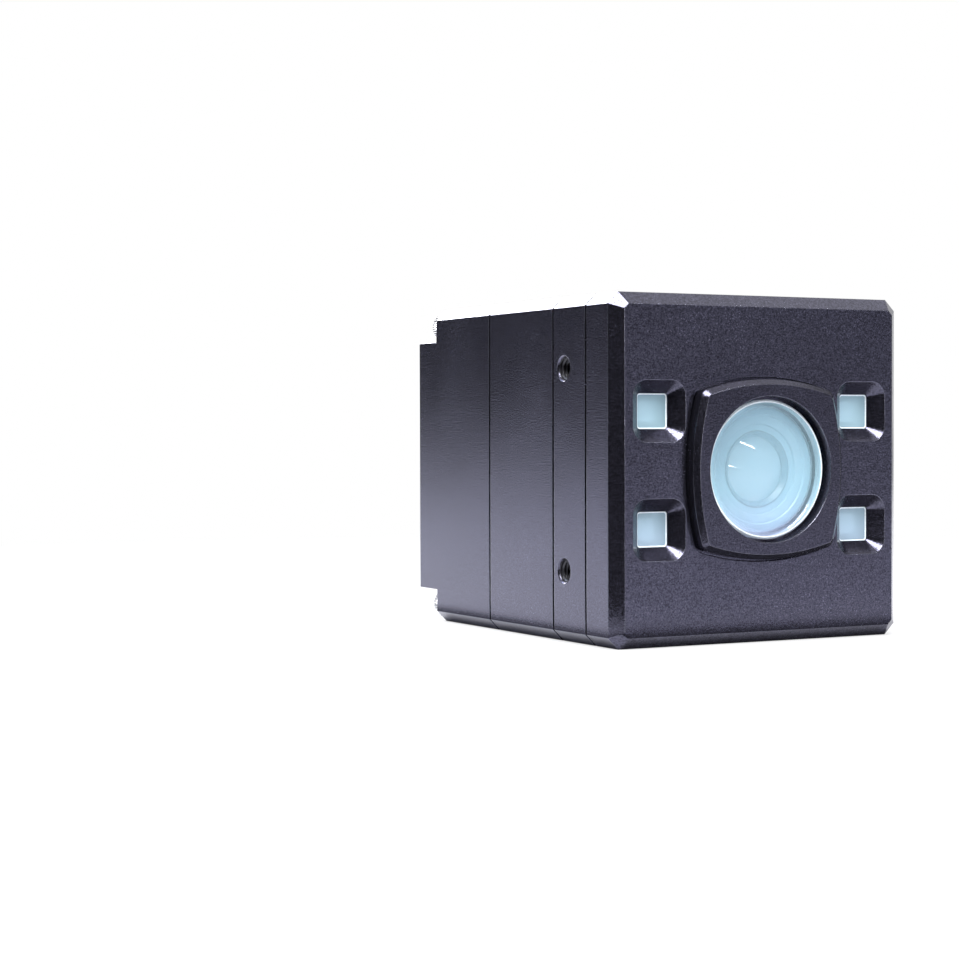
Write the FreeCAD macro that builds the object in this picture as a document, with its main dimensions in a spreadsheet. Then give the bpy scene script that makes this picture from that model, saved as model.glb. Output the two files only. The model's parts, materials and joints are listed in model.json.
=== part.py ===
import FreeCAD, Part
import math
import os
import Sketcher
from FreeCAD import Placement, Rotation, Vector

# A sealed time-of-flight machine vision camera: four square metal sections clamped by four long
# corner screws, with a lens window and four laser windows in front and two round sockets behind.
#
# The frame: X to the right seen from the front, +Z up, and the camera looks along -Y. The origin
# lies under the middle of the camera, on the plane that it stands on. Depths are measured back
# from the flat of the front face, and the lens axis is called the axis.

doc = FreeCAD.newDocument("machine_vision_camera")

# ---------------------------------------------------------------- sizes, in millimetres
SIZES = (
    # the outer form
    ("case_side", 60.0, "side of the square housing"),
    ("corner_bevel", 2.0, "flat on each long corner, along each side"),
    ("front_bevel", 2.05, "bevel round the front face"),
    ("rear_bevel", 0.9, "bevel round the rear face and its corner notches"),
    ("front_depth", 9.6, "front housing, front face to first seam"),
    ("ring_depth", 11.1, "mount ring, first seam to second"),
    ("middle_depth", 23.5, "middle housing, second seam to third"),
    ("cover_depth", 29.6, "rear cover, third seam to rear face"),
    ("seam_width", 0.55, "dark groove at each seam"),
    ("seam_deep", 0.7, "depth of the groove at each seam"),
    ("wall", 4.0, "side wall of the sections"),
    ("gasket_margin", 0.35, "wall left between a cavity and its gasket"),
    ("gasket_width", 0.8, "gasket cord, across"),
    ("gasket_deep", 0.7, "gasket cord, along the axis"),
    ("fit_gap", 0.05, "clearance between pieces that fit in each other"),
    # the corner screws
    ("tie_inset", 3.25, "corner screw axis from each side"),
    ("tie_shank", 1.5, "corner screw thread radius"),
    ("tie_head", 2.75, "corner screw head radius"),
    ("tie_head_tall", 3.0, "corner screw head height"),
    ("tie_engaged", 4.0, "corner screw thread held in the front housing"),
    ("tie_bore", 1.7, "clearance bore for a corner screw"),
    ("tie_spare", 0.8, "bore left beyond the screw's tip"),
    ("tie_wall", 3.2, "corner screw axis to the cavity corner"),
    ("hex_key", 2.5, "hexagon socket across flats"),
    ("hex_deep", 1.6, "hexagon socket depth"),
    ("notch_wall", 6.2, "side of a rear corner notch"),
    ("notch_deep", 8.2, "depth of a rear corner notch"),
    # front face
    ("front_wall", 4.4, "front wall thickness"),
    ("pocket_margin", 8.9, "middle of a laser window from the side"),
    ("pocket_z", 10.0, "laser window off the axis, upwards"),
    ("pocket_taper", 2.25, "tapered wall round a laser window, inwards and backwards"),
    ("laser_side", 6.0, "laser window opening"),
    ("laser_round", 0.5, "laser window corner radius"),
    ("laser_lip", 0.3, "straight wall between the taper and a laser window"),
    ("laser_glass", 7.5, "laser window side"),
    ("laser_glass_thick", 1.2, "laser window thickness"),
    ("emitter_side", 3.6, "laser emitter package side"),
    ("emitter_tall", 1.1, "laser emitter package height"),
    ("emitter_gap", 0.1, "laser emitter to its window"),
    # the raised frame round the lens window
    ("bezel_proud", 2.6, "window bezel in front of the front face"),
    ("bezel_margin", 14.5, "middle of a window bezel's side from the housing's side"),
    ("bezel_bow", 45.0, "radius of the bowed sides of the window bezel"),
    ("bezel_round", 1.8, "window bezel corner radius"),
    ("bezel_bevel", 0.9, "window bezel front bevel"),
    ("bezel_gap", 0.4, "shadow gap round the window bezel"),
    ("seat_deep", 0.8, "seat of the window bezel in the front face"),
    ("bezel_rim", 2.9, "window bezel between its round opening and the middle of a side"),
    ("window_gap", 0.6, "dark gap round the lens window"),
    ("window_sunk", 1.5, "lens window behind the bezel's face"),
    ("window_seat", 1.0, "seat round the edge of the lens window"),
    # lens and sensor
    ("lens_front", 1.9, "depth of the lens barrel's front"),
    ("lens_room", 2.0, "lens barrel to the bore in front of it"),
    ("lens_length", 17.0, "lens barrel length"),
    ("lens_rim", 2.5, "rim of the lens barrel round its front element"),
    ("lens_seat", 2.5, "depth of the front element's seat"),
    ("lens_edge", 1.4, "front element thickness at its rim"),
    ("holder_side", 26.0, "lens holder side"),
    ("holder_length", 15.0, "lens holder length"),
    ("stop_side", 11.0, "square stop between the lens barrel and the band filter"),
    ("filter_side", 14.0, "band filter side"),
    ("filter_thick", 0.6, "band filter thickness"),
    ("sensor_side", 15.0, "image sensor package side"),
    ("sensor_tall", 2.4, "image sensor package height"),
    ("sensor_board_side", 34.0, "sensor board side"),
    # boards
    ("board_thick", 1.6, "circuit board thickness"),
    ("board_gap", 0.4, "board edge to the cavity wall"),
    ("board_hole", 1.2, "illuminator board to the lens barrel"),
    ("board_corner", 6.0, "cut corner of the illuminator board"),
    ("pad_thick", 0.4, "thermal pad thickness"),
    ("pad_wide", 8.0, "pedestal and thermal pad, sideways"),
    ("pad_tall", 30.0, "pedestal and thermal pad, upwards"),
    ("web_thick", 3.0, "web of the mount ring"),
    ("slot_wide", 12.0, "cable slot in the web, sideways"),
    ("slot_tall", 1.8, "cable slot in the web, upwards"),
    ("ledge", 1.8, "ledge for the processor board"),
    ("ledge_at", 13.3, "ledge behind the second seam"),
    ("cable_wide", 10.0, "flat cable of the illuminator, width"),
    ("cable_thick", 0.3, "flat cable thickness"),
    ("chip_tall", 1.4, "chip height"),
    ("processor_side", 17.0, "processor side"),
    ("memory_side", 9.0, "memory chip side"),
    ("spreader_thick", 3.0, "heat spreader thickness"),
    ("spreader_gap", 0.3, "heat spreader to the housing"),
    ("spreader_cut", 7.5, "room for the flat cable above the heat spreader"),
    ("standoff_flats", 4.0, "hexagon standoff across flats"),
    ("standoff_inset", 5.0, "standoff axis from the spreader's edge"),
    ("ribbon_wide", 16.0, "ribbon between the boards, width"),
    ("ribbon_bow", 0.8, "bow of the ribbon between the boards"),
    ("ribbon_drop", 3.2, "ribbon below the board's upper edge"),
    ("header_tall", 2.0, "ribbon header height"),
    ("header_wide", 2.6, "ribbon header, upwards"),
    # side mounting threads
    ("mount_depth", 16.7, "side threads behind the front face"),
    ("mount_half", 17.5, "side threads above and below the axis"),
    ("mount_thread", 2.0, "side thread radius"),
    ("mount_deep", 6.5, "side thread depth"),
    ("mount_sink", 0.25, "countersink of the side threads"),
    ("mount_wall", 8.0, "side wall of the ring at the threads"),
    # rear
    ("rear_wall", 3.5, "rear wall thickness"),
    ("post_side", 8.7, "corner post of the rear cover, from the side"),
    ("post_tall", 8.3, "corner post of the rear cover, in front of the wall"),
    ("label_side", 22.4, "middle of the label recess from the left side"),
    ("label_top", 20.2, "middle of the label recess from the top"),
    ("label_wide", 23.1, "label recess width"),
    ("label_tall", 14.6, "label recess height"),
    ("label_round", 1.1, "label recess corner radius"),
    ("label_deep", 0.3, "label recess depth"),
    ("socket_proud", 1.1, "sockets behind the rear face"),
    ("socket_bevel", 0.5, "bevel of a socket's rim"),
    ("lan_side", 14.0, "network socket axis from the left side"),
    ("lan_base", 18.3, "network socket axis above the base"),
    ("lan_radius", 7.2, "network socket shell radius"),
    ("lan_bore", 5.8, "network socket bore radius"),
    ("lan_core", 4.15, "network socket insert radius"),
    ("lan_pitch", 3.25, "network contact circle radius"),
    ("lan_slot", 1.3, "slot between the network quadrants"),
    ("lan_spread", 36.0, "degrees between the two contacts of a network quadrant"),
    ("io_side", 22.6, "power socket axis from the right side"),
    ("io_base", 13.3, "power socket axis above the base"),
    ("io_radius", 5.3, "power socket shell radius"),
    ("io_bore", 3.7, "power socket bore radius"),
    ("io_core", 2.85, "power socket insert radius"),
    ("io_pitch", 1.95, "power contact circle radius"),
    ("io_contacts", 7, "power contacts round the middle one"),
    ("io_key", 0.8, "key notch of the power socket"),
    ("socket_length", 9.0, "socket shell length"),
    ("core_sunk", 0.4, "insert behind the socket's rim"),
    ("contact_side", 0.56, "contact side"),
    ("contact_sunk", 0.9, "contact behind the insert's face"),
    ("contact_room", 0.1, "contact to the corner of its hole"),
    ("shield_thick", 0.4, "cross shield thickness"),
    ("shield_deep", 6.0, "cross shield depth"),
    ("lamp_side", 15.25, "status light axis from the right side"),
    ("lamp_base", 27.6, "status light axis above the base"),
    ("lamp_radius", 1.75, "light pipe radius"),
    ("lamp_bore", 2.1, "light pipe bore radius"),
    ("lamp_sink", 0.65, "countersink of the light pipe bore"),
    ("lamp_sunk", 0.3, "end of the light pipe below the rear face"),
    ("led_tall", 0.7, "status lamp height"),
    ("led_side", 2.0, "status lamp side"),
)
sheet = doc.addObject("Spreadsheet::Sheet", "Dims")
for row, (alias, number, note) in enumerate(SIZES, start=1):
    sheet.set(f"A{row}", note)
    sheet.set(f"B{row}", str(number))
    sheet.setAlias(f"B{row}", alias)
doc.recompute()


class Size:
    """A length that carries its present value and the sheet expression that gives it."""

    def __init__(self, value, text):
        self.value = float(value)
        self.text = text

    def __add__(self, other):
        other = as_size(other)
        return Size(self.value + other.value, f"({self.text} + {other.text})")

    def __sub__(self, other):
        other = as_size(other)
        return Size(self.value - other.value, f"({self.text} - {other.text})")

    def __mul__(self, other):
        other = as_size(other)
        return Size(self.value * other.value, f"({self.text} * {other.text})")

    def __truediv__(self, other):
        other = as_size(other)
        return Size(self.value / other.value, f"({self.text} / {other.text})")

    def __neg__(self):
        return Size(-self.value, f"(0 - {self.text})")

    def root(self):
        return Size(math.sqrt(self.value), f"sqrt({self.text})")

    def __radd__(self, other):
        return as_size(other) + self

    def __rsub__(self, other):
        return as_size(other) - self

    def __rmul__(self, other):
        return as_size(other) * self


def as_size(number):
    """Take a plain number as a size."""
    return number if isinstance(number, Size) else Size(number, repr(float(number)))


class Dims:
    """The sheet's sizes by name, such as dim.case_side."""

    def __init__(self):
        for alias, number, _ in SIZES:
            setattr(self, alias, Size(number, f"Dims.{alias}"))


dim = Dims()
ZERO = as_size(0)
ROOT_HALF = math.sqrt(0.5)
# a bevelled corner's cut shrinks by this much for each unit that the outline is drawn in
BEVEL_SHRINK = 2 - math.sqrt(2)
FLATS_TO_CORNERS = 1 / math.sqrt(3)
OCTAGON_FLAT = math.tan(math.pi / 8)

# ---------------------------------------------------------------- derived places
half = dim.case_side / 2
case_depth = dim.front_depth + dim.ring_depth + dim.middle_depth + dim.cover_depth
overall = dim.bezel_proud + case_depth + dim.socket_proud
front_plane = dim.bezel_proud - overall / 2
seam_1 = dim.front_depth
seam_2 = seam_1 + dim.ring_depth
seam_3 = seam_2 + dim.middle_depth
rear_face = seam_3 + dim.cover_depth
tie = half - dim.tie_inset
cavity = half - dim.wall
cavity_cut = cavity * 2 - tie * 2 + dim.tie_wall / ROOT_HALF
notch_floor = rear_face - dim.notch_deep
tie_length = notch_floor - seam_1 + dim.tie_engaged
wall_inside = rear_face - dim.rear_wall
post_front = wall_inside - dim.post_tall
glass_front = dim.pocket_taper + dim.laser_lip
pocket_x = half - dim.pocket_margin
bezel_reach = half - dim.bezel_margin
bezel_bore = bezel_reach - dim.bezel_rim
window_radius = bezel_bore - dim.window_gap
light_bore = window_radius - dim.window_seat
lens_radius = light_bore - dim.lens_room
lens_throat = lens_radius - dim.lens_rim
label_x = dim.label_side - half
label_z = half - dim.label_top
lan_x = dim.lan_side - half
lan_z = dim.lan_base - half
io_x = half - dim.io_side
io_z = dim.io_base - half
lamp_x = half - dim.lamp_side
lamp_z = dim.lamp_base - half


# ---------------------------------------------------------------- sketches and features
def new_body(name, depth, x=ZERO, z=ZERO):
    """Start a body whose own frame has its Z axis on the camera's axis, pointing forwards."""
    body = doc.addObject("PartDesign::Body", name)
    body.Label = name
    body.Placement = Placement(Vector(0, 0, 0), Rotation(Vector(1, 0, 0), 90))
    body.setExpression("Placement.Base.x", x.text)
    body.setExpression("Placement.Base.y", (front_plane + depth).text)
    body.setExpression("Placement.Base.z", (half + z).text)
    return body


def origin_plane(body, role):
    """Find one of a body's origin planes or axes by its role."""
    return next(item for item in body.Origin.OriginFeatures if item.Role == role)


def new_sketch(body, name, depth=ZERO, role="XY_Plane"):
    """Attach a sketch to an origin plane; on XY_Plane it lies at a depth behind the origin."""
    sketch = body.newObject("Sketcher::SketchObject", f"{body.Name}_{name}")
    sketch.AttachmentSupport = [(origin_plane(body, role), "")]
    sketch.MapMode = "FlatFace"
    sketch.AttachmentOffset = Placement(Vector(0, 0, -depth.value), Rotation())
    sketch.setExpression("AttachmentOffset.Base.z", (-depth).text)
    return sketch


def tie_to(sketch, kind, first, size):
    """Add a measured constraint and bind it to its size."""
    index = sketch.addConstraint(Sketcher.Constraint(kind, *first, size.value))
    sketch.setExpression(f"Constraints[{index}]", size.text)


def fix_point(sketch, element, end, point):
    """Hold a point at its place from the sketch's centre."""
    for kind, size, axis in (("DistanceX", point[0], -2), ("DistanceY", point[1], -1)):
        if size is ZERO:
            sketch.addConstraint(Sketcher.Constraint("PointOnObject", element, end, axis))
        else:
            tie_to(sketch, kind, (-1, 1, element, end), size)


def add_outline(sketch, points, arcs=None):
    """Close an outline through points. arcs gives, for an edge's index, its centre and radius."""
    arcs = arcs or {}
    count = len(points)
    ends = []
    for i, start in enumerate(points):
        stop = points[(i + 1) % count]
        if i in arcs:
            (cx, cy), radius = arcs[i]
            first = math.atan2(start[1].value - cy.value, start[0].value - cx.value)
            last = math.atan2(stop[1].value - cy.value, stop[0].value - cx.value)
            forwards = (last - first) % (2 * math.pi) < math.pi
            if not forwards:
                first, last = last, first
            circle = Part.Circle(Vector(cx.value, cy.value, 0), Vector(0, 0, 1), radius.value)
            element = sketch.addGeometry(Part.ArcOfCircle(circle, first, last), False)
            ends.append((element, 1, 2) if forwards else (element, 2, 1))
        else:
            line = Part.LineSegment(Vector(start[0].value, start[1].value, 0),
                                    Vector(stop[0].value, stop[1].value, 0))
            ends.append((sketch.addGeometry(line, False), 1, 2))
    for i, (element, begin, end) in enumerate(ends):
        following = ends[(i + 1) % count]
        link = Sketcher.Constraint("Coincident", element, end, following[0], following[1])
        sketch.addConstraint(link)
        fix_point(sketch, element, begin, points[i])
    for i, (_, radius) in arcs.items():
        tie_to(sketch, "Radius", (ends[i][0],), radius)


def add_circle(sketch, x, y, radius):
    """Add a circle at its place from the sketch's centre."""
    circle = Part.Circle(Vector(x.value, y.value, 0), Vector(0, 0, 1), radius.value)
    element = sketch.addGeometry(circle, False)
    tie_to(sketch, "Radius", (element,), radius)
    fix_point(sketch, element, 3, (x, y))


def add_octagon(sketch, reach, cut):
    """Add a square with cut corners: reach is half its side, cut the corner along each side."""
    near = reach - cut
    add_outline(sketch, [
        (reach, -near), (reach, near), (near, reach), (-near, reach),
        (-reach, near), (-reach, -near), (-near, -reach), (near, -reach),
    ])


def inset(reach, cut, inwards):
    """Draw an octagon's outline in by the same distance on all eight sides."""
    return reach - inwards, cut - inwards * BEVEL_SHRINK


def add_rectangle(sketch, x, y, reach_x, reach_y):
    """Add a rectangle about a centre."""
    add_outline(sketch, [
        (x - reach_x, y - reach_y), (x + reach_x, y - reach_y),
        (x + reach_x, y + reach_y), (x - reach_x, y + reach_y),
    ])


def add_rounded(sketch, x, y, reach_x, reach_y, radius):
    """Add a rectangle with rounded corners about a centre."""
    points = []
    arcs = {}
    for sx, sy in ((1, -1), (1, 1), (-1, 1), (-1, -1)):
        side = (x + sx * reach_x, y + sy * (reach_y - radius))
        level = (x + sx * (reach_x - radius), y + sy * reach_y)
        arcs[len(points)] = ((level[0], side[1]), radius)
        points += [side, level] if sx * sy > 0 else [level, side]
    add_outline(sketch, points, arcs)


def add_bowed_square(sketch, reach, bow, corner):
    """Add a square with bowed sides of radius bow, and corner arcs tangent to them.

    reach is half the width at mid side. The corner arc lies inside the bowed side's circle, so its
    centre is bow - corner away from that circle's centre, and on the diagonal.
    """
    back = bow - reach
    span = bow - corner
    middle = ((2 * span * span - back * back).root() - back) / 2
    far = bow * (middle + back) / span - back
    near = bow * middle / span
    points = []
    arcs = {}
    for sx, sy in ((1, 1), (-1, 1), (-1, -1), (1, -1)):
        upright = (sx * far, sy * near)
        level = (sx * near, sy * far)
        arcs[len(points)] = ((sx * middle, sy * middle), corner)
        side = (ZERO, -sy * back) if sx * sy > 0 else (-sx * back, ZERO)
        arcs[len(points) + 1] = (side, bow)
        points += [upright, level] if sx * sy > 0 else [level, upright]
    add_outline(sketch, points, arcs)


def pad(body, name, sketch, length, forwards=False):
    """Add material behind a sketch, or in front of it."""
    feature = body.newObject("PartDesign::Pad", f"{body.Name}_{name}")
    feature.Profile = sketch
    feature.Reversed = not forwards
    feature.setExpression("Length", length.text)
    return feature


def pocket(body, name, sketch, length=None, forwards=False):
    """Cut behind a sketch, or in front of it, to a depth or through all."""
    feature = body.newObject("PartDesign::Pocket", f"{body.Name}_{name}")
    feature.Profile = sketch
    feature.Reversed = forwards
    if length is None:
        feature.Type = "ThroughAll"
    else:
        feature.setExpression("Length", length.text)
    return feature


def turn(body, name, points, arcs=None, kind="Revolution"):
    """Turn a profile of (radius, height) points about the body's axis."""
    sketch = new_sketch(body, f"{name}_profile", role="XZ_Plane")
    add_outline(sketch, points, arcs)
    feature = body.newObject(f"PartDesign::{kind}", f"{body.Name}_{name}")
    feature.Profile = sketch
    feature.ReferenceAxis = (sketch, ["V_Axis"])
    return feature


def dress(body, name, kind, base, size, wanted):
    """Chamfer or fillet the edges of a feature that meet a test."""
    doc.recompute()
    names = [f"Edge{i}" for i, edge in enumerate(base.Shape.Edges, start=1) if wanted(edge)]
    feature = body.newObject(f"PartDesign::{kind}", f"{body.Name}_{name}")
    feature.Base = (base, names)
    feature.setExpression("Radius" if kind == "Fillet" else "Size", size.text)
    return feature


def four_round(body, name, features):
    """Repeat features four times round the body's axis."""
    pattern = body.newObject("PartDesign::PolarPattern", f"{body.Name}_{name}")
    pattern.Originals = features
    pattern.Axis = (origin_plane(body, "Z_Axis"), [""])
    pattern.Angle = 360
    pattern.Occurrences = 4
    body.Tip = pattern
    return pattern


def mirror(body, name, features, *roles):
    """Mirror features in one or two of the body's planes."""
    group = body.newObject("PartDesign::MultiTransform", f"{body.Name}_{name}")
    group.Originals = features
    steps = []
    for role in roles:
        step = doc.addObject("PartDesign::Mirrored", f"{body.Name}_{name}_{role[:2]}")
        step.MirrorPlane = (origin_plane(body, role), [""])
        body.addObject(step)
        steps.append(step)
    group.Transformations = steps
    body.Tip = group
    return group


def block(name, left, right, front, back, low, high):
    """Add a box between two places sideways, two depths and two heights from the axis."""
    box = doc.addObject("Part::Box", name)
    box.Label = name
    box.setExpression("Length", (right - left).text)
    box.setExpression("Width", (back - front).text)
    box.setExpression("Height", (high - low).text)
    box.setExpression("Placement.Base.x", left.text)
    box.setExpression("Placement.Base.y", (front_plane + front).text)
    box.setExpression("Placement.Base.z", (half + low).text)
    return box


def square_block(name, side, front, back, x=ZERO, z=ZERO):
    """Add a box that is square seen from the front, about a centre."""
    reach = side / 2
    return block(name, x - reach, x + reach, front, back, z - reach, z + reach)


def place_along(item, x, depth, z):
    """Stand a turned or prismatic primitive on the camera's depth axis, running backwards."""
    item.Placement = Placement(Vector(0, 0, 0), Rotation(Vector(1, 0, 0), -90))
    item.setExpression("Placement.Base.x", x.text)
    item.setExpression("Placement.Base.y", (front_plane + depth).text)
    item.setExpression("Placement.Base.z", (half + z).text)


def rod(name, radius, x, depth, z, length):
    """Add a round bar that runs backwards from a depth."""
    bar = doc.addObject("Part::Cylinder", name)
    bar.Label = name
    bar.setExpression("Radius", radius.text)
    bar.setExpression("Height", length.text)
    place_along(bar, x, depth, z)
    return bar


def hexagon(name, flats, x, depth, z, length):
    """Add a hexagonal bar, given across its flats, that runs backwards from a depth."""
    bar = doc.addObject("Part::Prism", name)
    bar.Polygon = 6
    bar.setExpression("Circumradius", (flats * FLATS_TO_CORNERS).text)
    bar.setExpression("Height", length.text)
    place_along(bar, x, depth, z)
    return bar


def cut(name, base, tool):
    """Take one object out of another."""
    result = doc.addObject("Part::Cut", name)
    result.Base = base
    result.Tool = tool
    result.Label = name
    return result


def group(name, members):
    """Keep separate solids together as one node."""
    result = doc.addObject("Part::Compound", name)
    result.Links = members
    result.Label = name
    return result


nodes = []


def keep(item):
    """Note an object as one node of the camera."""
    nodes.append(item)
    return item


# ---------------------------------------------------------------- what the sections share
def add_section(body, depth):
    """Add a section's outer form, with the step at its rear edge that makes the seam groove."""
    face = new_sketch(body, "outline")
    add_octagon(face, half, dim.corner_bevel)
    pad(body, "block", face, depth - dim.seam_width)
    step = new_sketch(body, "step_outline", depth - dim.seam_width)
    add_octagon(step, *inset(half, dim.corner_bevel, dim.seam_deep))
    pad(body, "step", step, dim.seam_width)


def add_gasket_groove(body, depth):
    """Cut the groove for the gasket cord into a section's rear face."""
    face = new_sketch(body, "groove_outline", depth)
    add_octagon(face, *inset(cavity, cavity_cut, -dim.gasket_margin))
    add_octagon(face, *inset(cavity, cavity_cut, -dim.gasket_margin - dim.gasket_width))
    pocket(body, "groove", face, dim.gasket_deep, forwards=True)


def add_tie_bores(body, radius, depth=ZERO, length=None):
    """Cut the four corner screw bores: back through the section, or forwards to a length.

    The bores are out of sight, so each is drawn with eight flats that touch its circle.
    """
    face = new_sketch(body, "tie_outline", depth)
    near = radius * OCTAGON_FLAT
    add_outline(face, [
        (tie + radius, tie - near), (tie + radius, tie + near),
        (tie + near, tie + radius), (tie - near, tie + radius),
        (tie - radius, tie + near), (tie - radius, tie - near),
        (tie - near, tie - radius), (tie + near, tie - radius),
    ])
    bore = pocket(body, "tie_bore", face, length, forwards=length is not None)
    four_round(body, "tie_bores", [bore])


def make_gasket(name, depth):
    """Make the gasket cord that fills a section's groove at a seam."""
    body = new_body(name, depth - dim.gasket_deep)
    face = new_sketch(body, "outline")
    add_octagon(face, *inset(cavity, cavity_cut, -dim.gasket_margin))
    add_octagon(face, *inset(cavity, cavity_cut, -dim.gasket_margin - dim.gasket_width))
    pad(body, "cord", face, dim.gasket_deep)
    return keep(body)


# ---------------------------------------------------------------- front housing
def make_front_housing():
    """Make the front housing, with the tapered laser pockets and the seat of the bezel."""
    body = new_body("front_housing", ZERO)
    add_section(body, dim.front_depth)
    room = new_sketch(body, "cavity_outline", dim.front_depth)
    add_octagon(room, cavity, cavity_cut)
    pocket(body, "cavity", room, dim.front_depth - dim.front_wall, forwards=True)
    add_gasket_groove(body, dim.front_depth)
    seat = new_sketch(body, "seat_outline")
    add_bowed_square(seat, bezel_reach + dim.bezel_gap, dim.bezel_bow + dim.bezel_gap,
                     dim.bezel_round + dim.bezel_gap)
    pocket(body, "seat", seat, dim.seat_deep)
    bore = new_sketch(body, "light_outline")
    add_circle(bore, ZERO, ZERO, light_bore)
    pocket(body, "light_bore", bore)
    add_tie_bores(body, dim.tie_shank + dim.fit_gap, dim.front_depth, dim.tie_engaged + dim.tie_spare)
    add_laser_windows(body)
    return keep(body)


def add_laser_windows(body):
    """Cut one stepped laser opening, mirror it to the other three places and taper the mouths."""
    reach = dim.laser_side / 2
    mouth = new_sketch(body, "laser_outline")
    add_rounded(mouth, pocket_x, dim.pocket_z, reach, reach, dim.laser_round)
    hole = pocket(body, "laser_hole", mouth, dim.front_wall)
    seat = new_sketch(body, "glass_seat", dim.front_wall)
    glass_reach = dim.laser_glass / 2 + dim.fit_gap
    add_rectangle(seat, pocket_x, dim.pocket_z, glass_reach, glass_reach)
    recess = pocket(body, "glass_recess", seat, dim.front_wall - glass_front, forwards=True)
    places = mirror(body, "laser_places", [hole, recess], "YZ_Plane", "XZ_Plane")
    pockets = dress(body, "laser_pockets", "Chamfer", places, dim.pocket_taper, is_laser_mouth)
    dress(body, "front_bevel", "Chamfer", pockets, dim.front_bevel, is_front_rim)


def is_front_rim(edge):
    """Tell an edge round the outside of the front face."""
    box = edge.BoundBox
    middle = (box.XMin + box.XMax) / 2, (box.YMin + box.YMax) / 2
    inside = half.value - dim.corner_bevel.value
    return is_at_front(edge) and max(abs(middle[0]), abs(middle[1])) > inside


def is_laser_mouth(edge):
    """Tell an edge round a laser opening in the plane of the front face."""
    box = edge.BoundBox
    reach = dim.laser_side.value / 2 + 1e-6
    near_x = max(abs(abs(box.XMin) - pocket_x.value), abs(abs(box.XMax) - pocket_x.value))
    near_z = max(abs(abs(box.YMin) - dim.pocket_z.value), abs(abs(box.YMax) - dim.pocket_z.value))
    return is_at_front(edge) and near_x <= reach and near_z <= reach


def is_at_front(edge):
    """Tell an edge that lies in the body's front plane."""
    return abs(edge.BoundBox.ZMax) < 1e-6 and abs(edge.BoundBox.ZMin) < 1e-6


# ---------------------------------------------------------------- bezel and lens window
def make_window_bezel():
    """Make the bowed square frame that stands proud round the lens window."""
    body = new_body("window_bezel", -dim.bezel_proud)
    face = new_sketch(body, "outline")
    add_bowed_square(face, bezel_reach, dim.bezel_bow, dim.bezel_round)
    frame = pad(body, "frame", face, dim.bezel_proud + dim.seat_deep)
    dress(body, "bevel", "Chamfer", frame, dim.bezel_bevel, is_at_front)
    hole = new_sketch(body, "bore_outline")
    add_circle(hole, ZERO, ZERO, bezel_bore)
    pocket(body, "bore", hole)
    return keep(body)


def make_lens_window():
    """Make the round window glass, seated with the bezel in the front face."""
    front = dim.window_sunk - dim.bezel_proud
    return keep(rod("lens_window", window_radius, ZERO, front, ZERO, dim.seat_deep - front))


# ---------------------------------------------------------------- laser board
LASER_PLACES = (
    ("upper_right", 1, 1), ("upper_left", -1, 1), ("lower_left", -1, -1), ("lower_right", 1, -1),
)
board_front = dim.front_wall + dim.emitter_gap + dim.emitter_tall
board_back = board_front + dim.board_thick
pedestal_front = board_back + dim.pad_thick


def make_illuminator():
    """Make the laser windows, and the laser board with its emitters, drivers and thermal pads."""
    reach = cavity - dim.board_gap
    body = new_body("illuminator_board", board_front)
    face = new_sketch(body, "outline")
    add_octagon(face, reach, dim.board_corner)
    add_rectangle(face, ZERO, ZERO, lens_radius + dim.board_hole, lens_radius + dim.board_hole)
    pad(body, "board", face, dim.board_thick)
    keep(body)
    for place, sx, sz in LASER_PLACES:
        x = sx * pocket_x
        z = sz * dim.pocket_z
        keep(square_block(f"laser_window_{place}", dim.laser_glass, glass_front,
                          glass_front + dim.laser_glass_thick, x, z))
        keep(square_block(f"laser_emitter_{place}", dim.emitter_side, board_front - dim.emitter_tall,
                          board_front, x, z))
    for side, sx in (("right", 1), ("left", -1)):
        centre = sx * pocket_x
        keep(square_block(f"laser_driver_{side}", dim.emitter_side, board_front - dim.emitter_tall,
                          board_front, centre))
        keep(block(f"laser_pad_{side}", centre - dim.pad_wide / 2, centre + dim.pad_wide / 2,
                   board_back, pedestal_front, -dim.pad_tall / 2, dim.pad_tall / 2))


# ---------------------------------------------------------------- mount ring
def make_mount_ring():
    """Make the ring that carries the lens, the laser board and the side mounting threads."""
    body = new_body("mount_ring", seam_1)
    add_section(body, dim.ring_depth)
    for name, sx in (("right", 1), ("left", -1)):
        pedestal = new_sketch(body, f"pedestal_{name}_outline")
        add_rectangle(pedestal, sx * pocket_x, ZERO, dim.pad_wide / 2, dim.pad_tall / 2)
        pad(body, f"pedestal_{name}", pedestal, seam_1 - pedestal_front, forwards=True)
    room = new_sketch(body, "cavity_outline", dim.ring_depth)
    add_rectangle(room, ZERO, ZERO, half - dim.mount_wall, cavity)
    pocket(body, "cavity", room, dim.ring_depth - dim.web_thick, forwards=True)
    add_gasket_groove(body, dim.ring_depth)
    hole = new_sketch(body, "holder_outline")
    reach = dim.holder_side / 2 + dim.fit_gap
    add_rectangle(hole, ZERO, ZERO, reach, reach)
    pocket(body, "holder_hole", hole, dim.web_thick)
    slot = new_sketch(body, "slot_outline")
    add_rectangle(slot, ZERO, cable_z, dim.slot_wide / 2, dim.slot_tall / 2)
    pocket(body, "cable_slot", slot, dim.web_thick)
    add_tie_bores(body, dim.tie_bore)
    add_side_threads(body)
    return keep(body)


def add_side_threads(body):
    """Cut the blind mounting threads into the right side and mirror them to the left."""
    face = new_sketch(body, "thread_outline", -half, role="YZ_Plane")
    for sz in (1, -1):
        add_circle(face, sz * dim.mount_half, seam_1 - dim.mount_depth, dim.mount_thread)
    holes = pocket(body, "threads", face, dim.mount_deep)
    sinks = dress(body, "countersinks", "Chamfer", holes, dim.mount_sink, is_thread_mouth)
    body.Tip = sinks
    mirror(body, "left_side", [holes, sinks], "YZ_Plane")


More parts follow.
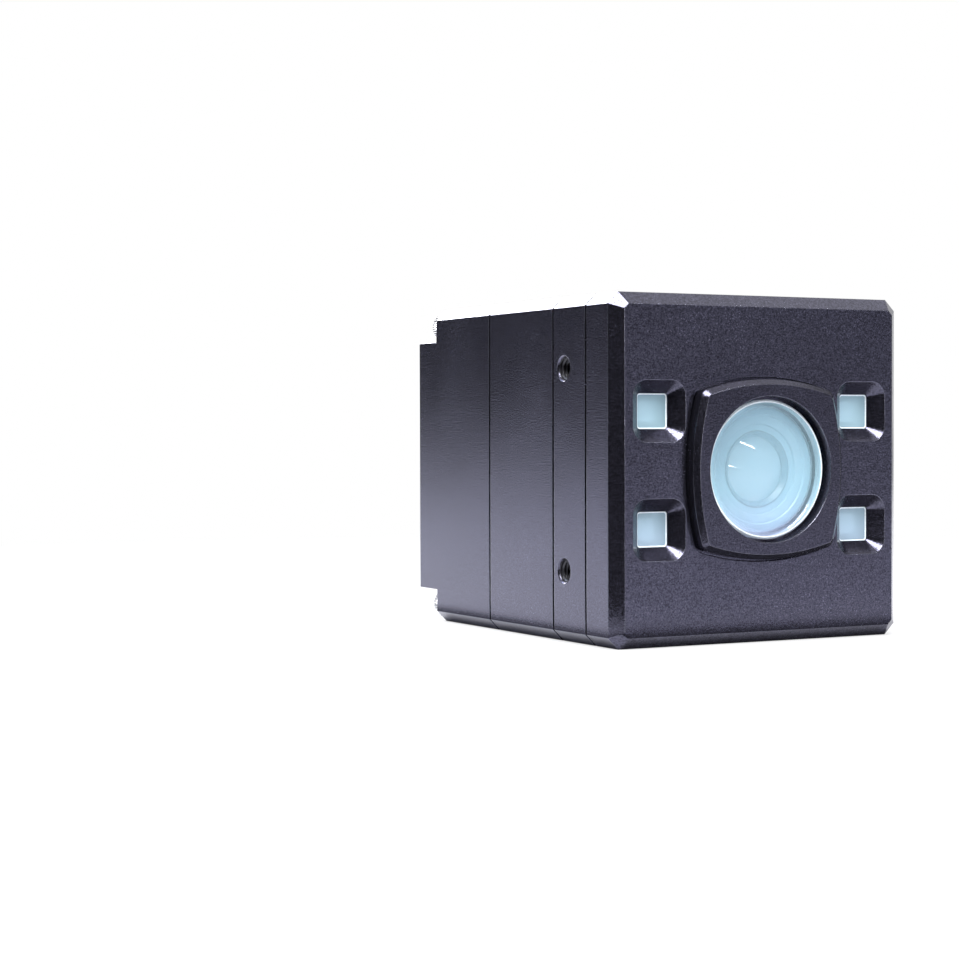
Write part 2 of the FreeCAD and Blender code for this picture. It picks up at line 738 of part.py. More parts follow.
def is_thread_mouth(edge):
    """Tell the round mouth of a side thread in the section's right face."""
    box = edge.BoundBox
    mouth = abs(box.XMin - half.value) < 1e-6 and abs(box.YLength - 2 * dim.mount_thread.value) < 1e-6
    return mouth and isinstance(edge.Curve, Part.Circle)


# ---------------------------------------------------------------- lens
holder_back = seam_1 + dim.holder_length
sensor_front = holder_back - dim.sensor_tall
filter_front = sensor_front - dim.filter_thick


def make_lens():
    """Make the sealed lens barrel and its front element."""
    barrel = new_body("lens_barrel", dim.lens_front)
    turn(barrel, "barrel", [
        (ZERO, -dim.lens_length), (lens_radius, -dim.lens_length), (lens_radius, ZERO),
        (lens_throat, ZERO), (lens_throat, -dim.lens_seat), (ZERO, -dim.lens_seat),
    ])
    keep(barrel)
    seat = dim.lens_front + dim.lens_seat
    keep(rod("lens_front_element", lens_throat - dim.fit_gap, ZERO, seat - dim.lens_edge, ZERO,
             dim.lens_edge))


def make_lens_holder():
    """Make the block in the web that holds the barrel, the band filter and the sensor."""
    body = new_body("lens_holder", seam_1)
    face = new_sketch(body, "outline")
    add_rectangle(face, ZERO, ZERO, dim.holder_side / 2, dim.holder_side / 2)
    pad(body, "block", face, dim.holder_length)
    bore = new_sketch(body, "barrel_outline")
    add_circle(bore, ZERO, ZERO, lens_radius + dim.fit_gap)
    pocket(body, "barrel_bore", bore, dim.lens_front + dim.lens_length + dim.fit_gap - seam_1)
    stop = new_sketch(body, "stop_outline")
    add_rectangle(stop, ZERO, ZERO, dim.stop_side / 2, dim.stop_side / 2)
    pocket(body, "stop", stop)
    rear = new_sketch(body, "sensor_outline", dim.holder_length)
    reach = dim.sensor_side / 2 + dim.fit_gap
    add_rectangle(rear, ZERO, ZERO, reach, reach)
    pocket(body, "sensor_room", rear, holder_back - filter_front, forwards=True)
    keep(body)
    keep(square_block("band_filter", dim.filter_side, filter_front, sensor_front))
    keep(square_block("image_sensor", dim.sensor_side, sensor_front, holder_back))
    keep(square_block("sensor_board", dim.sensor_board_side, holder_back, holder_back + dim.board_thick))


# ---------------------------------------------------------------- middle housing and its boards
board_at = seam_2 + dim.ledge_at
board_rear = board_at + dim.board_thick
spreader_front = board_rear + dim.chip_tall + dim.pad_thick
cable_z = dim.slot_tall / 2 - cavity + dim.ledge


def make_middle_housing():
    """Make the middle housing: a tube with a ledge for the processor board."""
    body = new_body("middle_housing", seam_2)
    add_section(body, dim.middle_depth)
    narrow = new_sketch(body, "front_cavity_outline")
    reach = cavity - dim.ledge
    add_rectangle(narrow, ZERO, ZERO, reach, reach)
    pocket(body, "front_cavity", narrow, dim.ledge_at)
    wide = new_sketch(body, "rear_cavity_outline", dim.middle_depth)
    add_octagon(wide, cavity, cavity_cut)
    pocket(body, "rear_cavity", wide, dim.middle_depth - dim.ledge_at, forwards=True)
    add_gasket_groove(body, dim.middle_depth)
    add_tie_bores(body, dim.tie_bore)
    return keep(body)


def make_board(name, depth):
    """Make a board that fills the cavity, with its corners cut to clear the screw bores."""
    body = new_body(name, depth)
    face = new_sketch(body, "outline")
    add_octagon(face, *inset(cavity, cavity_cut, dim.board_gap))
    pad(body, "board", face, dim.board_thick)
    return keep(body)


def make_processor():
    """Make the processor board with its chips, pad, heat spreader and standoffs."""
    make_board("processor_board", board_at)
    keep(square_block("processor_chip", dim.processor_side, board_rear, board_rear + dim.chip_tall))
    for side, sx in (("right", 1), ("left", -1)):
        centre = sx * (dim.processor_side + dim.memory_side) / 2 + sx * dim.pad_wide / 4
        keep(square_block(f"memory_chip_{side}", dim.memory_side, board_rear,
                          board_rear + dim.chip_tall, centre))
    keep(square_block("processor_pad", dim.processor_side, board_rear + dim.chip_tall, spreader_front))
    reach = cavity - dim.spreader_gap
    top = cavity - dim.spreader_cut
    body = new_body("heat_spreader", spreader_front)
    face = new_sketch(body, "outline")
    near = reach - cavity_cut
    add_outline(face, [
        (reach, -near), (reach, top), (-reach, top), (-reach, -near), (-near, -reach), (near, -reach),
    ])
    pad(body, "plate", face, dim.spreader_thick)
    keep(body)
    legs = []
    for sx in (1, -1):
        for low in (False, True):
            z = dim.standoff_inset - reach if low else top - dim.standoff_inset
            legs.append(hexagon("spreader_leg", dim.standoff_flats, sx * (reach - dim.standoff_inset),
                                board_rear, z, spreader_front - board_rear))
    keep(group("spreader_standoffs", legs))
    keep(block("sensor_connector", -dim.holder_side / 2, dim.holder_side / 2,
               holder_back + dim.board_thick, board_at, -dim.header_wide, dim.header_wide))
    keep(block("illuminator_cable", -dim.cable_wide / 2, dim.cable_wide / 2, board_back, board_at,
               cable_z - dim.cable_thick / 2, cable_z + dim.cable_thick / 2))


# ---------------------------------------------------------------- rear cover
def add_cross(sketch, reach, corner):
    """Add a square room whose corners are left standing as posts."""
    points = []
    for sx, sy in ((1, 1), (-1, 1), (-1, -1), (1, -1)):
        quarter = [(sx * reach, sy * corner), (sx * corner, sy * corner), (sx * corner, sy * reach)]
        points += quarter if sx * sy > 0 else quarter[::-1]
    add_outline(sketch, points)


def make_rear_cover():
    """Make the rear cover, with the screw notches, the sockets' holes and the label recess."""
    body = new_body("rear_cover", seam_3)
    face = new_sketch(body, "outline")
    add_octagon(face, half, dim.corner_bevel)
    pad(body, "block", face, dim.cover_depth)
    room = new_sketch(body, "cavity_outline")
    add_octagon(room, cavity, cavity_cut)
    pocket(body, "cavity", room, post_front - seam_3)
    deep = new_sketch(body, "rear_cavity_outline", post_front - seam_3)
    add_cross(deep, cavity, half - dim.post_side)
    pocket(body, "rear_cavity", deep, dim.post_tall)
    add_notches(body)
    sockets = new_sketch(body, "socket_outline", dim.cover_depth)
    add_circle(sockets, lan_x, lan_z, dim.lan_radius + dim.fit_gap)
    add_circle(sockets, io_x, io_z, dim.io_radius + dim.fit_gap)
    add_circle(sockets, lamp_x, lamp_z, dim.lamp_bore)
    holes = pocket(body, "socket_holes", sockets, dim.rear_wall, forwards=True)
    dress(body, "lamp_countersink", "Chamfer", holes, dim.lamp_sink, is_lamp_mouth)
    label = new_sketch(body, "label_outline", dim.cover_depth)
    add_rounded(label, label_x, label_z, dim.label_wide / 2, dim.label_tall / 2, dim.label_round)
    pocket(body, "label_recess", label, dim.label_deep, forwards=True)
    add_tie_bores(body, dim.tie_bore)
    return keep(body)


def add_notches(body):
    """Cut the four corner notches, round about the screws, and bevel the whole rear edge."""
    side = half - dim.notch_wall
    beyond = half + dim.notch_wall
    notch = new_sketch(body, "notch_outline", dim.cover_depth)
    add_outline(notch, [(side, beyond), (side, tie), (tie, side), (beyond, side), (beyond, beyond)],
                {1: ((tie, tie), tie - side)})
    corner = pocket(body, "notch", notch, dim.notch_deep, forwards=True)
    notches = four_round(body, "notches", [corner])
    dress(body, "rear_bevel", "Chamfer", notches, dim.rear_bevel, is_rear_edge)


def is_rear_edge(edge):
    """Tell an edge that lies in the plane of the rear face."""
    box = edge.BoundBox
    return abs(box.ZMin + dim.cover_depth.value) < 1e-6 and box.ZLength < 1e-6


def is_lamp_mouth(edge):
    """Tell the round mouth of the status light's bore."""
    same_size = abs(edge.BoundBox.XLength - 2 * dim.lamp_bore.value) < 1e-6
    return is_rear_edge(edge) and same_size and isinstance(edge.Curve, Part.Circle)


# ---------------------------------------------------------------- sockets and status light
rim = rear_face + dim.socket_proud
core_face = rim - dim.core_sunk


def make_shell(name, x, z, radius, bore):
    """Make a socket's turned shell, screwed into the rear wall."""
    shell = new_body(f"{name}_shell", rim, x, z)
    turn(shell, "shell", [
        (bore, ZERO), (bore, dim.socket_length), (radius, dim.socket_length),
        (radius, dim.socket_bevel), (radius - dim.socket_bevel, ZERO),
    ])
    return keep(shell)


def add_contact_hole(sketch, x, y):
    """Add the outline of one contact hole, with six flats round a square contact."""
    radius = (dim.contact_side / 2 + dim.contact_room) / ROOT_HALF
    points = []
    for step in range(6):
        angle = math.radians(60 * step)
        points.append((x + radius * math.cos(angle), y + radius * math.sin(angle)))
    add_outline(sketch, points)


def make_insert(name, x, z, core, places):
    """Make a socket's plastic insert and the contacts in its holes."""
    insert = new_body(f"{name}_insert", post_front, x, z)
    length = core_face - post_front
    face = new_sketch(insert, "outline", length)
    add_circle(face, ZERO, ZERO, core)
    pad(insert, "body", face, length, forwards=True)
    holes = new_sketch(insert, "contact_outline", length)
    for px, pz in places:
        add_contact_hole(holes, px, pz)
    pocket(insert, "contact_holes", holes, forwards=True)
    keep(insert)
    contacts = []
    for px, pz in places:
        contacts.append(square_block(f"{name}_contact", dim.contact_side, post_front,
                                     core_face - dim.contact_sunk, x + px, z + pz))
    keep(group(f"{name}_contacts", contacts))
    return insert


def make_network_socket():
    """Make the eight-pole network socket, its quadrants parted by a cross shield."""
    make_shell("lan", lan_x, lan_z, dim.lan_radius, dim.lan_bore)
    spread = dim.lan_spread.value
    places = []
    for quadrant in range(4):
        for turn_by in (-spread / 2, spread / 2):
            turned = math.radians(45 + 90 * quadrant + turn_by)
            places.append((dim.lan_pitch * math.cos(turned), dim.lan_pitch * math.sin(turned)))
    insert = make_insert("lan", lan_x, lan_z, dim.lan_core, places)
    slots = new_sketch(insert, "slot_outline", core_face - post_front)
    add_cross(slots, dim.lan_core + 2 * dim.fit_gap, dim.lan_slot / 2)
    pocket(insert, "slots", slots, dim.shield_deep, forwards=True)
    shield = new_body("lan_shield", core_face - dim.shield_deep, lan_x, lan_z)
    cross = new_sketch(shield, "outline")
    add_cross(cross, dim.lan_core, dim.shield_thick / 2)
    pad(shield, "cross", cross, dim.shield_deep)
    keep(shield)


def make_power_socket():
    """Make the eight-pole power and signal socket, with its key notch."""
    make_shell("io", io_x, io_z, dim.io_radius, dim.io_bore)
    count = int(dim.io_contacts.value)
    places = [(ZERO, ZERO)]
    for step in range(count):
        turned = math.pi + 2 * math.pi * step / count
        places.append((dim.io_pitch * math.cos(turned), dim.io_pitch * math.sin(turned)))
    insert = make_insert("io", io_x, io_z, dim.io_core, places)
    key = new_sketch(insert, "key_outline", core_face - post_front)
    add_rectangle(key, dim.io_core, ZERO, dim.io_key / 2, dim.io_key / 2)
    pocket(insert, "key", key, dim.shield_deep, forwards=True)


def make_status_light():
    """Make the light pipe in the rear wall and the lamp at its foot."""
    foot = post_front + dim.led_tall
    keep(rod("light_pipe", dim.lamp_radius, lamp_x, foot, lamp_z,
             rear_face - dim.lamp_sunk - foot))
    keep(square_block("status_lamp", dim.led_side, post_front, post_front + dim.led_tall,
                      lamp_x, lamp_z))


# ---------------------------------------------------------------- interface board and ribbon
def make_interface():
    """Make the rear board with its parts and the ribbon that joins it to the processor board."""
    front = post_front - dim.board_thick
    make_board("interface_board", front)
    part_front = front - 2 * dim.chip_tall
    keep(block("network_transformer", -dim.processor_side, ZERO, part_front, front,
               -dim.processor_side, -dim.memory_side))
    keep(square_block("network_chip", dim.memory_side, front - dim.chip_tall, front, -dim.memory_side))
    keep(square_block("power_inductor", dim.memory_side, part_front, front, dim.processor_side,
                      -dim.memory_side))
    keep(square_block("power_chip", dim.memory_side / 2, front - dim.chip_tall, front,
                      dim.memory_side))
    middle = cavity - dim.ribbon_drop
    for name, start in (("processor_header", board_rear), ("interface_header", front - dim.header_tall)):
        keep(block(name, -dim.ribbon_wide / 2, dim.ribbon_wide / 2, start, start + dim.header_tall,
                   middle - dim.header_wide / 2, middle + dim.header_wide / 2))
    make_ribbon(board_rear + dim.header_tall, front - dim.header_tall, middle)


def make_ribbon(front, back, height):
    """Make the ribbon: a thin strip whose run bows gently downwards between its headers."""
    body = new_body("board_ribbon", front, ZERO, height)
    side = new_sketch(body, "outline", dim.ribbon_wide / 2, role="YZ_Plane")
    length = back - front
    reach = length / 2
    radius = (reach * reach + dim.ribbon_bow * dim.ribbon_bow) / (2 * dim.ribbon_bow)
    centre_y = radius - dim.ribbon_bow
    skin = dim.cable_thick / 2
    add_outline(side, [(skin, ZERO), (skin, -length), (-skin, -length), (-skin, ZERO)], {
        0: ((centre_y + skin, -reach), radius),
        2: ((centre_y - skin, -reach), radius),
    })
    pad(body, "strip", side, dim.ribbon_wide, forwards=True)
    return keep(body)


# ---------------------------------------------------------------- corner screws
def make_cover_screws():
    """Make the four long socket screws that clamp the sections together."""
    screws = []
    for sx, sz in ((1, 1), (-1, 1), (-1, -1), (1, -1)):
        x = sx * tie
        z = sz * tie
        shank = rod("screw_shank", dim.tie_shank, x, notch_floor - tie_length, z, tie_length)
        head = rod("screw_head", dim.tie_head, x, notch_floor, z, dim.tie_head_tall)
        blank = doc.addObject("Part::Fuse", "screw_blank")
        blank.Base = shank
        blank.Tool = head
        key = hexagon("screw_key", dim.hex_key, x, notch_floor + dim.tie_head_tall - dim.hex_deep, z,
                      dim.hex_deep)
        screws.append(cut("cover_screw", blank, key))
    return keep(group("cover_screws", screws))


# ---------------------------------------------------------------- build, check and write
make_front_housing()
make_window_bezel()
make_lens_window()
make_illuminator()
make_mount_ring()
make_lens()
make_lens_holder()
make_middle_housing()
make_processor()
make_rear_cover()
make_network_socket()
make_power_socket()
make_status_light()
make_interface()
make_cover_screws()
make_gasket("front_gasket", seam_1)
make_gasket("ring_gasket", seam_2)
make_gasket("rear_gasket", seam_3)
doc.recompute()

for item in doc.Objects:
    if "Invalid" in item.State or "Error" in item.State:
        raise RuntimeError(f"{item.Label} did not build: {item.State}")
    cutter = item.TypeId == "PartDesign::Pocket"
    if cutter and item.Shape.Volume >= item.BaseFeature.Shape.Volume - 1e-6:
        raise RuntimeError(f"{item.Label} cuts nothing")
for item in nodes:
    if item.Shape.isNull() or not item.Shape.isValid() or not item.Shape.Solids:
        raise RuntimeError(f"{item.Label} has no valid solid")

os.makedirs("parts", exist_ok=True)
for item in nodes:
    item.Shape.exportStep(f"parts/{item.Label}.step")
print(len(nodes), "nodes")
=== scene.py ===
"""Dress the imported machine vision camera: threads, screws, sockets, lens, finishes and stage.

The file is laid out as a Blender add-on. Sizes are in metres in the part's own frame: the camera
looks along -Y, its sockets face +Y and +Z is up.
"""

import json
import math

import bmesh
import bpy
import numpy as np
from bpy.props import FloatProperty, FloatVectorProperty, IntProperty, PointerProperty
from bpy.types import Operator, Panel, PropertyGroup
from mathutils import Matrix, Vector

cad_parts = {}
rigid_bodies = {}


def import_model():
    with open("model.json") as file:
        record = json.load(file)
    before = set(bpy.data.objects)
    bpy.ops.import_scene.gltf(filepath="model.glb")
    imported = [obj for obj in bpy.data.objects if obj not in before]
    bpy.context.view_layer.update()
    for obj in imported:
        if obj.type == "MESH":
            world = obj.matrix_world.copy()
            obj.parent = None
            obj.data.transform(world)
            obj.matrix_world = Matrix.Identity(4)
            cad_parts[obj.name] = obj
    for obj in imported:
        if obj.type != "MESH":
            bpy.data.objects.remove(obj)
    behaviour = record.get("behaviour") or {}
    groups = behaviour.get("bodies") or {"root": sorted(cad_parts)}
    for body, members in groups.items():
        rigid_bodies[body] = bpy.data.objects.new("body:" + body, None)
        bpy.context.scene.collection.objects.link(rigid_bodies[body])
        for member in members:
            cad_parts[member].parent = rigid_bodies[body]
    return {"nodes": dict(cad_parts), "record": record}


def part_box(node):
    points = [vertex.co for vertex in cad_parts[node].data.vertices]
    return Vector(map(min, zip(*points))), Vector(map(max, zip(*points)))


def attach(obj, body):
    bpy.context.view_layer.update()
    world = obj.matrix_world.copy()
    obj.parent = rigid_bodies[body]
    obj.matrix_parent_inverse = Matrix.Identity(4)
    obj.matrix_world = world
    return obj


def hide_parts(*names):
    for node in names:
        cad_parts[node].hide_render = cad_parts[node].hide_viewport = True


bl_info = {
    "name": "Machine vision camera dressing",
    "version": (1, 0, 0),
    "blender": (4, 5, 0),
    "location": "View3D > Sidebar > Vision Camera",
    "description": "Adds fine pieces, finishes and a studio to the packed camera",
    "category": "Object",
}

for leftover in list(bpy.data.objects):
    bpy.data.objects.remove(leftover)
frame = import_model()

MM = 0.001
TURN = 2 * math.pi

# Threads: rows a pitch, how steep and how flat a ridge is, and how fast it fades at its ends.
ROWS_A_PITCH = 10
FLANK_RATE = 1.5
FLANK_OFFSET = 0.25
FADE_RATE = 1.6

# Shares of its room's radius at which a thread's ring and its root lie.
RING_SHARE = 0.992
ROOT_SHARE = 0.985
SOCKET_RING_SHARE = 0.999

# Fit of the threads, in metres.
MOUTH_SETBACK = 0.00035
SOCKET_SETBACK = 0.0004
SOCKET_THREAD_WALL = 0.00035
SOCKET_ROOT_DEPTH = 0.00002

# Cover screws, in metres: radii, the head's height, and an axis's distance from the outer box.
SCREW_HEAD = 0.00268
SCREW_SHANK = 0.0015
SCREW_HEAD_HEIGHT = 0.003
SCREW_INSET = 0.00275

# Socket contacts, in metres: circles they stand on, and a sleeve's radii and depth.
LAN_CIRCLE = 0.00325
IO_CIRCLE = 0.00195
LAN_SPREAD = math.radians(18)
SLEEVE_OUTER = 0.00037
SLEEVE_INNER = 0.00022
SLEEVE_DEPTH = 0.0008
SLEEVE_BEVEL = 0.00005

# Turned sections round the front glass: (radius, distance behind the barrel's face) in metres.
BAFFLE_SECTION = (
    (0.0109, -0.0002), (0.0109, -0.0008), (0.0106, -0.0009), (0.0096, -0.0008),
    (0.0094, -0.0006), (0.0081, -0.0005), (0.0079, -0.0004), (0.0078, -0.0001),
    (0.0067, -0.0001), (0.0067, 0.0001),
)
CLAMP_SECTION = (
    (0.00665, 0.0001), (0.00665, -0.0002), (0.0064, -0.00025), (0.0059, 0.0003),
    (0.0057, 0.0005), (0.0057, 0.0009), (0.0062, 0.0011),
)

# Rims of the laser windows, in metres: half the side, the corner's radius and the rim's width.
LASER_REACH = 0.003
LASER_CORNER = 0.0005
LASER_RIM_WIDTH = 0.00021
LASER_RIM_SECTION = ((0.00001, 0.00002), (0.00001, 0.00010), (LASER_RIM_WIDTH, 0.00004),
                     (LASER_RIM_WIDTH, 0.00002))

# Columns round a turned piece.
LENS_COLUMNS = 128
WINDOW_COLUMNS = 160
SLEEVE_COLUMNS = 20
DOME_COLUMNS = 72
SOCKET_THREAD_COLUMNS = 72

# Lamps: name, place, size in metres, watts, and what else add_lamp takes.
LAMPS = (
    ("overhead_softbox", (-0.28, -0.30, 0.70), (0.52, 0.52), 18.0, {}),
    ("rear_strip", (0.05, 0.85, 0.50), (0.9, 0.20), 14.0, {}),
    ("right_softbox", (0.46, 0.08, 0.78), (0.50, 0.50), 0.35, {}),
    ("upper_streak", (0.296, -0.651, 0.361), (0.28, 0.022), 1.0, {"roll": -0.46}),
    ("lower_streak", (-0.008, -0.795, 0.071), (0.17, 0.013), 0.35, {"roll": -0.32}),
    ("floor_pool", (-0.34, 0.42, 0.36), (0.40, 0.40), 3.4,
     {"colour": (0.84, 0.91, 1.12), "target": (-0.34, 0.42, 0.0)}),
)

# Cards: name, place, size in metres, grey, and whether it lies face up.
CARDS = (
    ("left_front_card", (-0.80, -0.50, 0.36), (1.6, 1.0), 0.01, False),
    ("left_floor_card", (-0.60, -0.375, 0.003), (1.12, 0.66), 0.01, True),
    ("right_front_card", (0.75, -1.0, 0.30), (1.0, 0.9), 0.38, False),
    ("front_floor_card", (0.38, -0.44, 0.0015), (0.80, 0.74), 0.44, True),
    ("front_foot_card", (0.02, -0.041, 0.002), (0.11, 0.010), 0.08, True),
    ("side_foot_card", (-0.0325, 0.0, 0.002), (0.005, 0.08), 0.15, True),
    ("left_back_card", (-0.5, 0.9, 0.42), (1.6, 0.84), 0.03, False),
)

# Half the floor's side, and how far it lies under the camera, in metres.
FLOOR_REACH = 6.0
FLOOR_DROP = 0.00002

# The middle of the vision camera, where the lamps and cards point unless told otherwise.
CAMERA_MIDDLE = (0.0, 0.0, 0.03)

# The view: its turns in degrees, its place in metres, and focal length over sensor width.
VIEW_YAW, VIEW_PITCH, VIEW_ROLL = 27.819, 1.286, -0.157
VIEW_PLACE = (-0.21717, -0.34291, 0.03673)
VIEW_FOCAL_RATIO = 2160.04 / 959
SENSOR_WIDTH = 36.0

SIDE_THREADS = [mount for mount in frame["record"]["mounts"] if mount["kind"] == "bolt_pattern"]


def mount_at(name):
    """Give a mount's place from the record."""
    return next(mount["pos_m"] for mount in frame["record"]["mounts"] if mount["name"] == name)


# ---------------------------------------------------------------- what a user can change
def length(name, note, default):
    """Make a length property that is shown in the scene's units."""
    return FloatProperty(name=name, description=note, default=default, min=0.0, unit="LENGTH",
                         precision=5)


def tint(name, note, default):
    """Make a colour property."""
    return FloatVectorProperty(name=name, description=note, default=default, size=3, min=0.0,
                               max=1.0, subtype="COLOR")


class CameraSizes(PropertyGroup):
    """Sizes of the fine pieces that the solids leave out."""

    side_pitch: length("Side thread pitch", "Pitch of the side mounting threads", 0.0007)
    side_crest: length("Side thread crest", "Inner radius of the side threads", 0.00166)
    side_reach: length("Side thread length", "Depth of the side threads", 0.0060)
    lan_crest: length("Network thread crest", "Inner radius of the network socket's thread",
                      0.00545)
    io_crest: length("Power thread crest", "Inner radius of the power socket's thread", 0.00333)
    socket_pitch: length("Socket thread pitch", "Pitch of both socket threads", 0.0010)
    socket_reach: length("Socket thread length", "Depth of both socket threads", 0.0055)
    knurl_count: IntProperty(name="Knurls", description="Ridges round a screw head", default=40,
                             min=8)
    knurl_height: length("Knurl height", "Height of the ridges round a screw head", 0.00012)
    hex_flats: length("Hexagon key", "Hexagon socket across flats", 0.0025)
    hex_deep: length("Hexagon depth", "Depth of the hexagon socket", 0.0016)
    lens_sag: length("Front glass sag", "Height of the front glass at its middle", 0.0013)
    window_bevel: length("Window bevel", "Ground edge of the lens window", 0.0003)
    lamp_dome: length("Lamp dome", "Height of the light pipe's dome", 0.00055)


class CameraColours(PropertyGroup):
    """Base colours of the main finishes."""

    housing: tint("Housing", "Dark anodised housing", (0.064, 0.063, 0.089))
    # Edge colour: partly worn anodising, partly a painted highlight where edges catch the light.
    edge_wear_and_highlight: tint("Bare edge", "Anodising worn thin along the edges", (0.30, 0.31, 0.36))
    # The window colours are partly the coatings' tint and partly a painted reflection of the bright
    # surroundings.
    glass: tint("Window glass", "Coated lens window", (0.47, 0.74, 0.86))
    laser_glass: tint("Laser glass", "Coated laser windows", (0.55, 0.82, 0.94))
    steel: tint("Screw steel", "Stainless cover screws", (0.62, 0.62, 0.63))
    socket: tint("Socket metal", "Dark plated socket shells", (0.085, 0.085, 0.10))
    contact: tint("Contacts", "Plated socket contacts", (0.46, 0.44, 0.42))
    board: tint("Circuit board", "Solder mask on the boards", (0.012, 0.075, 0.035))


def sizes():
    """Give this scene's sizes."""
    return bpy.context.scene.camera_sizes


def colours():
    """Give this scene's colours."""
    return bpy.context.scene.camera_colours


# ---------------------------------------------------------------- surfaces
def grid_faces(rows, columns, start=0, ring=False):
    """Quads that join a grid's points: columns always close round, and rows close for a ring."""
    index = start + np.arange(rows * columns).reshape(rows, columns)
    beside = np.roll(index, -1, axis=1)
    if ring:
        lower, upper = index, np.roll(index, -1, axis=0)
        lower_beside, upper_beside = beside, np.roll(beside, -1, axis=0)
    else:
        lower, upper = index[:-1], index[1:]
        lower_beside, upper_beside = beside[:-1], beside[1:]
    return np.stack([lower, lower_beside, upper_beside, upper], axis=-1).reshape(-1, 4)


def build(name, grids, material, ring=False, replaced=()):
    """Put point grids into one mesh, weld its poles, turn it outwards and fix it to the camera."""
    points = np.concatenate([grid.reshape(-1, 3) for grid in grids])
    faces = []
    start = 0
    for grid in grids:
        faces.append(grid_faces(grid.shape[0], grid.shape[1], start, ring))
        start += grid.shape[0] * grid.shape[1]
    mesh = bpy.data.meshes.new(name)
    mesh.from_pydata(points.tolist(), [], np.concatenate(faces).tolist())
    work = bmesh.new()
    work.from_mesh(mesh)
    bmesh.ops.remove_doubles(work, verts=work.verts, dist=1e-7)
    bmesh.ops.recalc_face_normals(work, faces=work.faces)
    work.to_mesh(mesh)
    work.free()
    mesh.validate()
    mesh.materials.append(material)
    piece = bpy.data.objects.new(name, mesh)
    bpy.context.scene.collection.objects.link(piece)
    mesh.shade_smooth()
    mesh.set_sharp_from_angle(angle=math.radians(32))
    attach(piece, "root")
    if replaced:
        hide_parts(*replaced)
    return piece


def turned(profile, centre, columns=96, axis="Y"):
    """Turn a profile of (radius, height) pairs about an axis through centre.

    A point is centre + radius * (cos a, sin a) across the axis, and height along it. A radius may
    be an array with one value for each angle a.
    """
    angle = np.linspace(0, TURN, columns, endpoint=False)
    radius = np.array([np.broadcast_to(r, columns) for r, _ in profile], float)
    height = np.array([np.broadcast_to(h, columns) for _, h in profile], float)
    across = radius * np.cos(angle)
    up = radius * np.sin(angle)
    if axis == "Y":
        grid = np.stack([across, height, up], axis=-1)
    else:
        grid = np.stack([height, across, up], axis=-1)
    return grid + np.array(centre)


def threaded_ring(centre, outer, root, crest, pitch, reach, axis, sign, columns=48):
    """Make a closed ring whose inner wall is a screw thread.

    The inner radius runs from crest to root as a triangle wave of height / pitch - angle / turn,
    so the ridge climbs one pitch each turn. It fades to the root within the last pitch at each end.
    """
    rows = int(reach / pitch * ROWS_A_PITCH)
    along = np.linspace(0, reach, rows)
    angle = np.linspace(0, 1, columns, endpoint=False)
    phase = along[:, None] / pitch - angle[None, :]
    wave = np.abs(2 * (phase - np.floor(phase)) - 1)
    flank = np.clip(wave * FLANK_RATE - FLANK_OFFSET, 0, 1)
    fade = np.clip(np.minimum(along, reach - along) / pitch * FADE_RATE, 0, 1)[:, None]
    inner = root - (root - crest) * flank * fade
    profile = [(outer, sign * reach), (outer, 0.0)]
    profile += [(inner[row], sign * along[row]) for row in range(rows)]
    return turned(profile, centre, columns, axis)


def hexagon_radius(flats, columns):
    """Distance from the middle to a hexagon's side, at each angle."""
    angle = np.linspace(0, TURN, columns, endpoint=False)
    within = (angle + math.pi / 6) % (math.pi / 3) - math.pi / 6
    return flats / 2 / np.cos(within)


# ---------------------------------------------------------------- node helpers
def put(tree, kind, inputs=None, **settings):
    """Add a node, set its properties, and set or join its inputs by name or number."""
    node = tree.nodes.new(kind)
    for name, value in settings.items():
        setattr(node, name, value)
    for name, value in (inputs or {}).items():
        socket = node.inputs[name]
        if isinstance(value, bpy.types.NodeSocket):
            tree.links.new(value, socket)
        elif isinstance(value, (tuple, list)) and len(value) == 3 and socket.type == "RGBA":
            socket.default_value = (*value, 1.0)
        else:
            socket.default_value = value
    return node


def maths(tree, operation, first, second):
    """Add a Math node and give its result."""
    return put(tree, "ShaderNodeMath", {0: first, 1: second}, operation=operation).outputs[0]


def vector_maths(tree, operation, inputs, output="Vector"):
    """Add a Vector Math node and give its result."""
    return put(tree, "ShaderNodeVectorMath", inputs, operation=operation).outputs[output]


def object_place(tree):
    """Give the place on the piece, in its own coordinates."""
    return put(tree, "ShaderNodeTexCoord").outputs["Object"]


def distance_from_axis(tree, place, centre):
    """Distance from the line along Y through centre, and give it as a value."""
    away = vector_maths(tree, "SUBTRACT", {0: place, 1: centre})
    flat = vector_maths(tree, "MULTIPLY", {0: away, 1: (1.0, 0.0, 1.0)})
    return vector_maths(tree, "LENGTH", {0: flat}, "Value")


def noise(tree, inputs, **settings):
    """Add a Noise Texture and give its value."""
    return put(tree, "ShaderNodeTexNoise", inputs, **settings).outputs["Fac"]


def blend_colour(tree, factor, first, second, kind="MIX"):
    """Mix two colours and give the result."""
    node = put(tree, "ShaderNodeMix", {"Factor": factor}, data_type="RGBA", blend_type=kind)
    for socket, value in ((node.inputs[6], first), (node.inputs[7], second)):
        if isinstance(value, bpy.types.NodeSocket):
            tree.links.new(value, socket)
        else:
            socket.default_value = (*value, 1.0)
    return node.outputs[2]


def ramp(tree, value, low, high, to_low=0.0, to_high=1.0):
    """Carry a value from one range to another, held at its ends."""
    node = put(tree, "ShaderNodeMapRange", {"Value": value, "From Min": low, "From Max": high,
                                            "To Min": to_low, "To Max": to_high})
    return node.outputs["Result"]


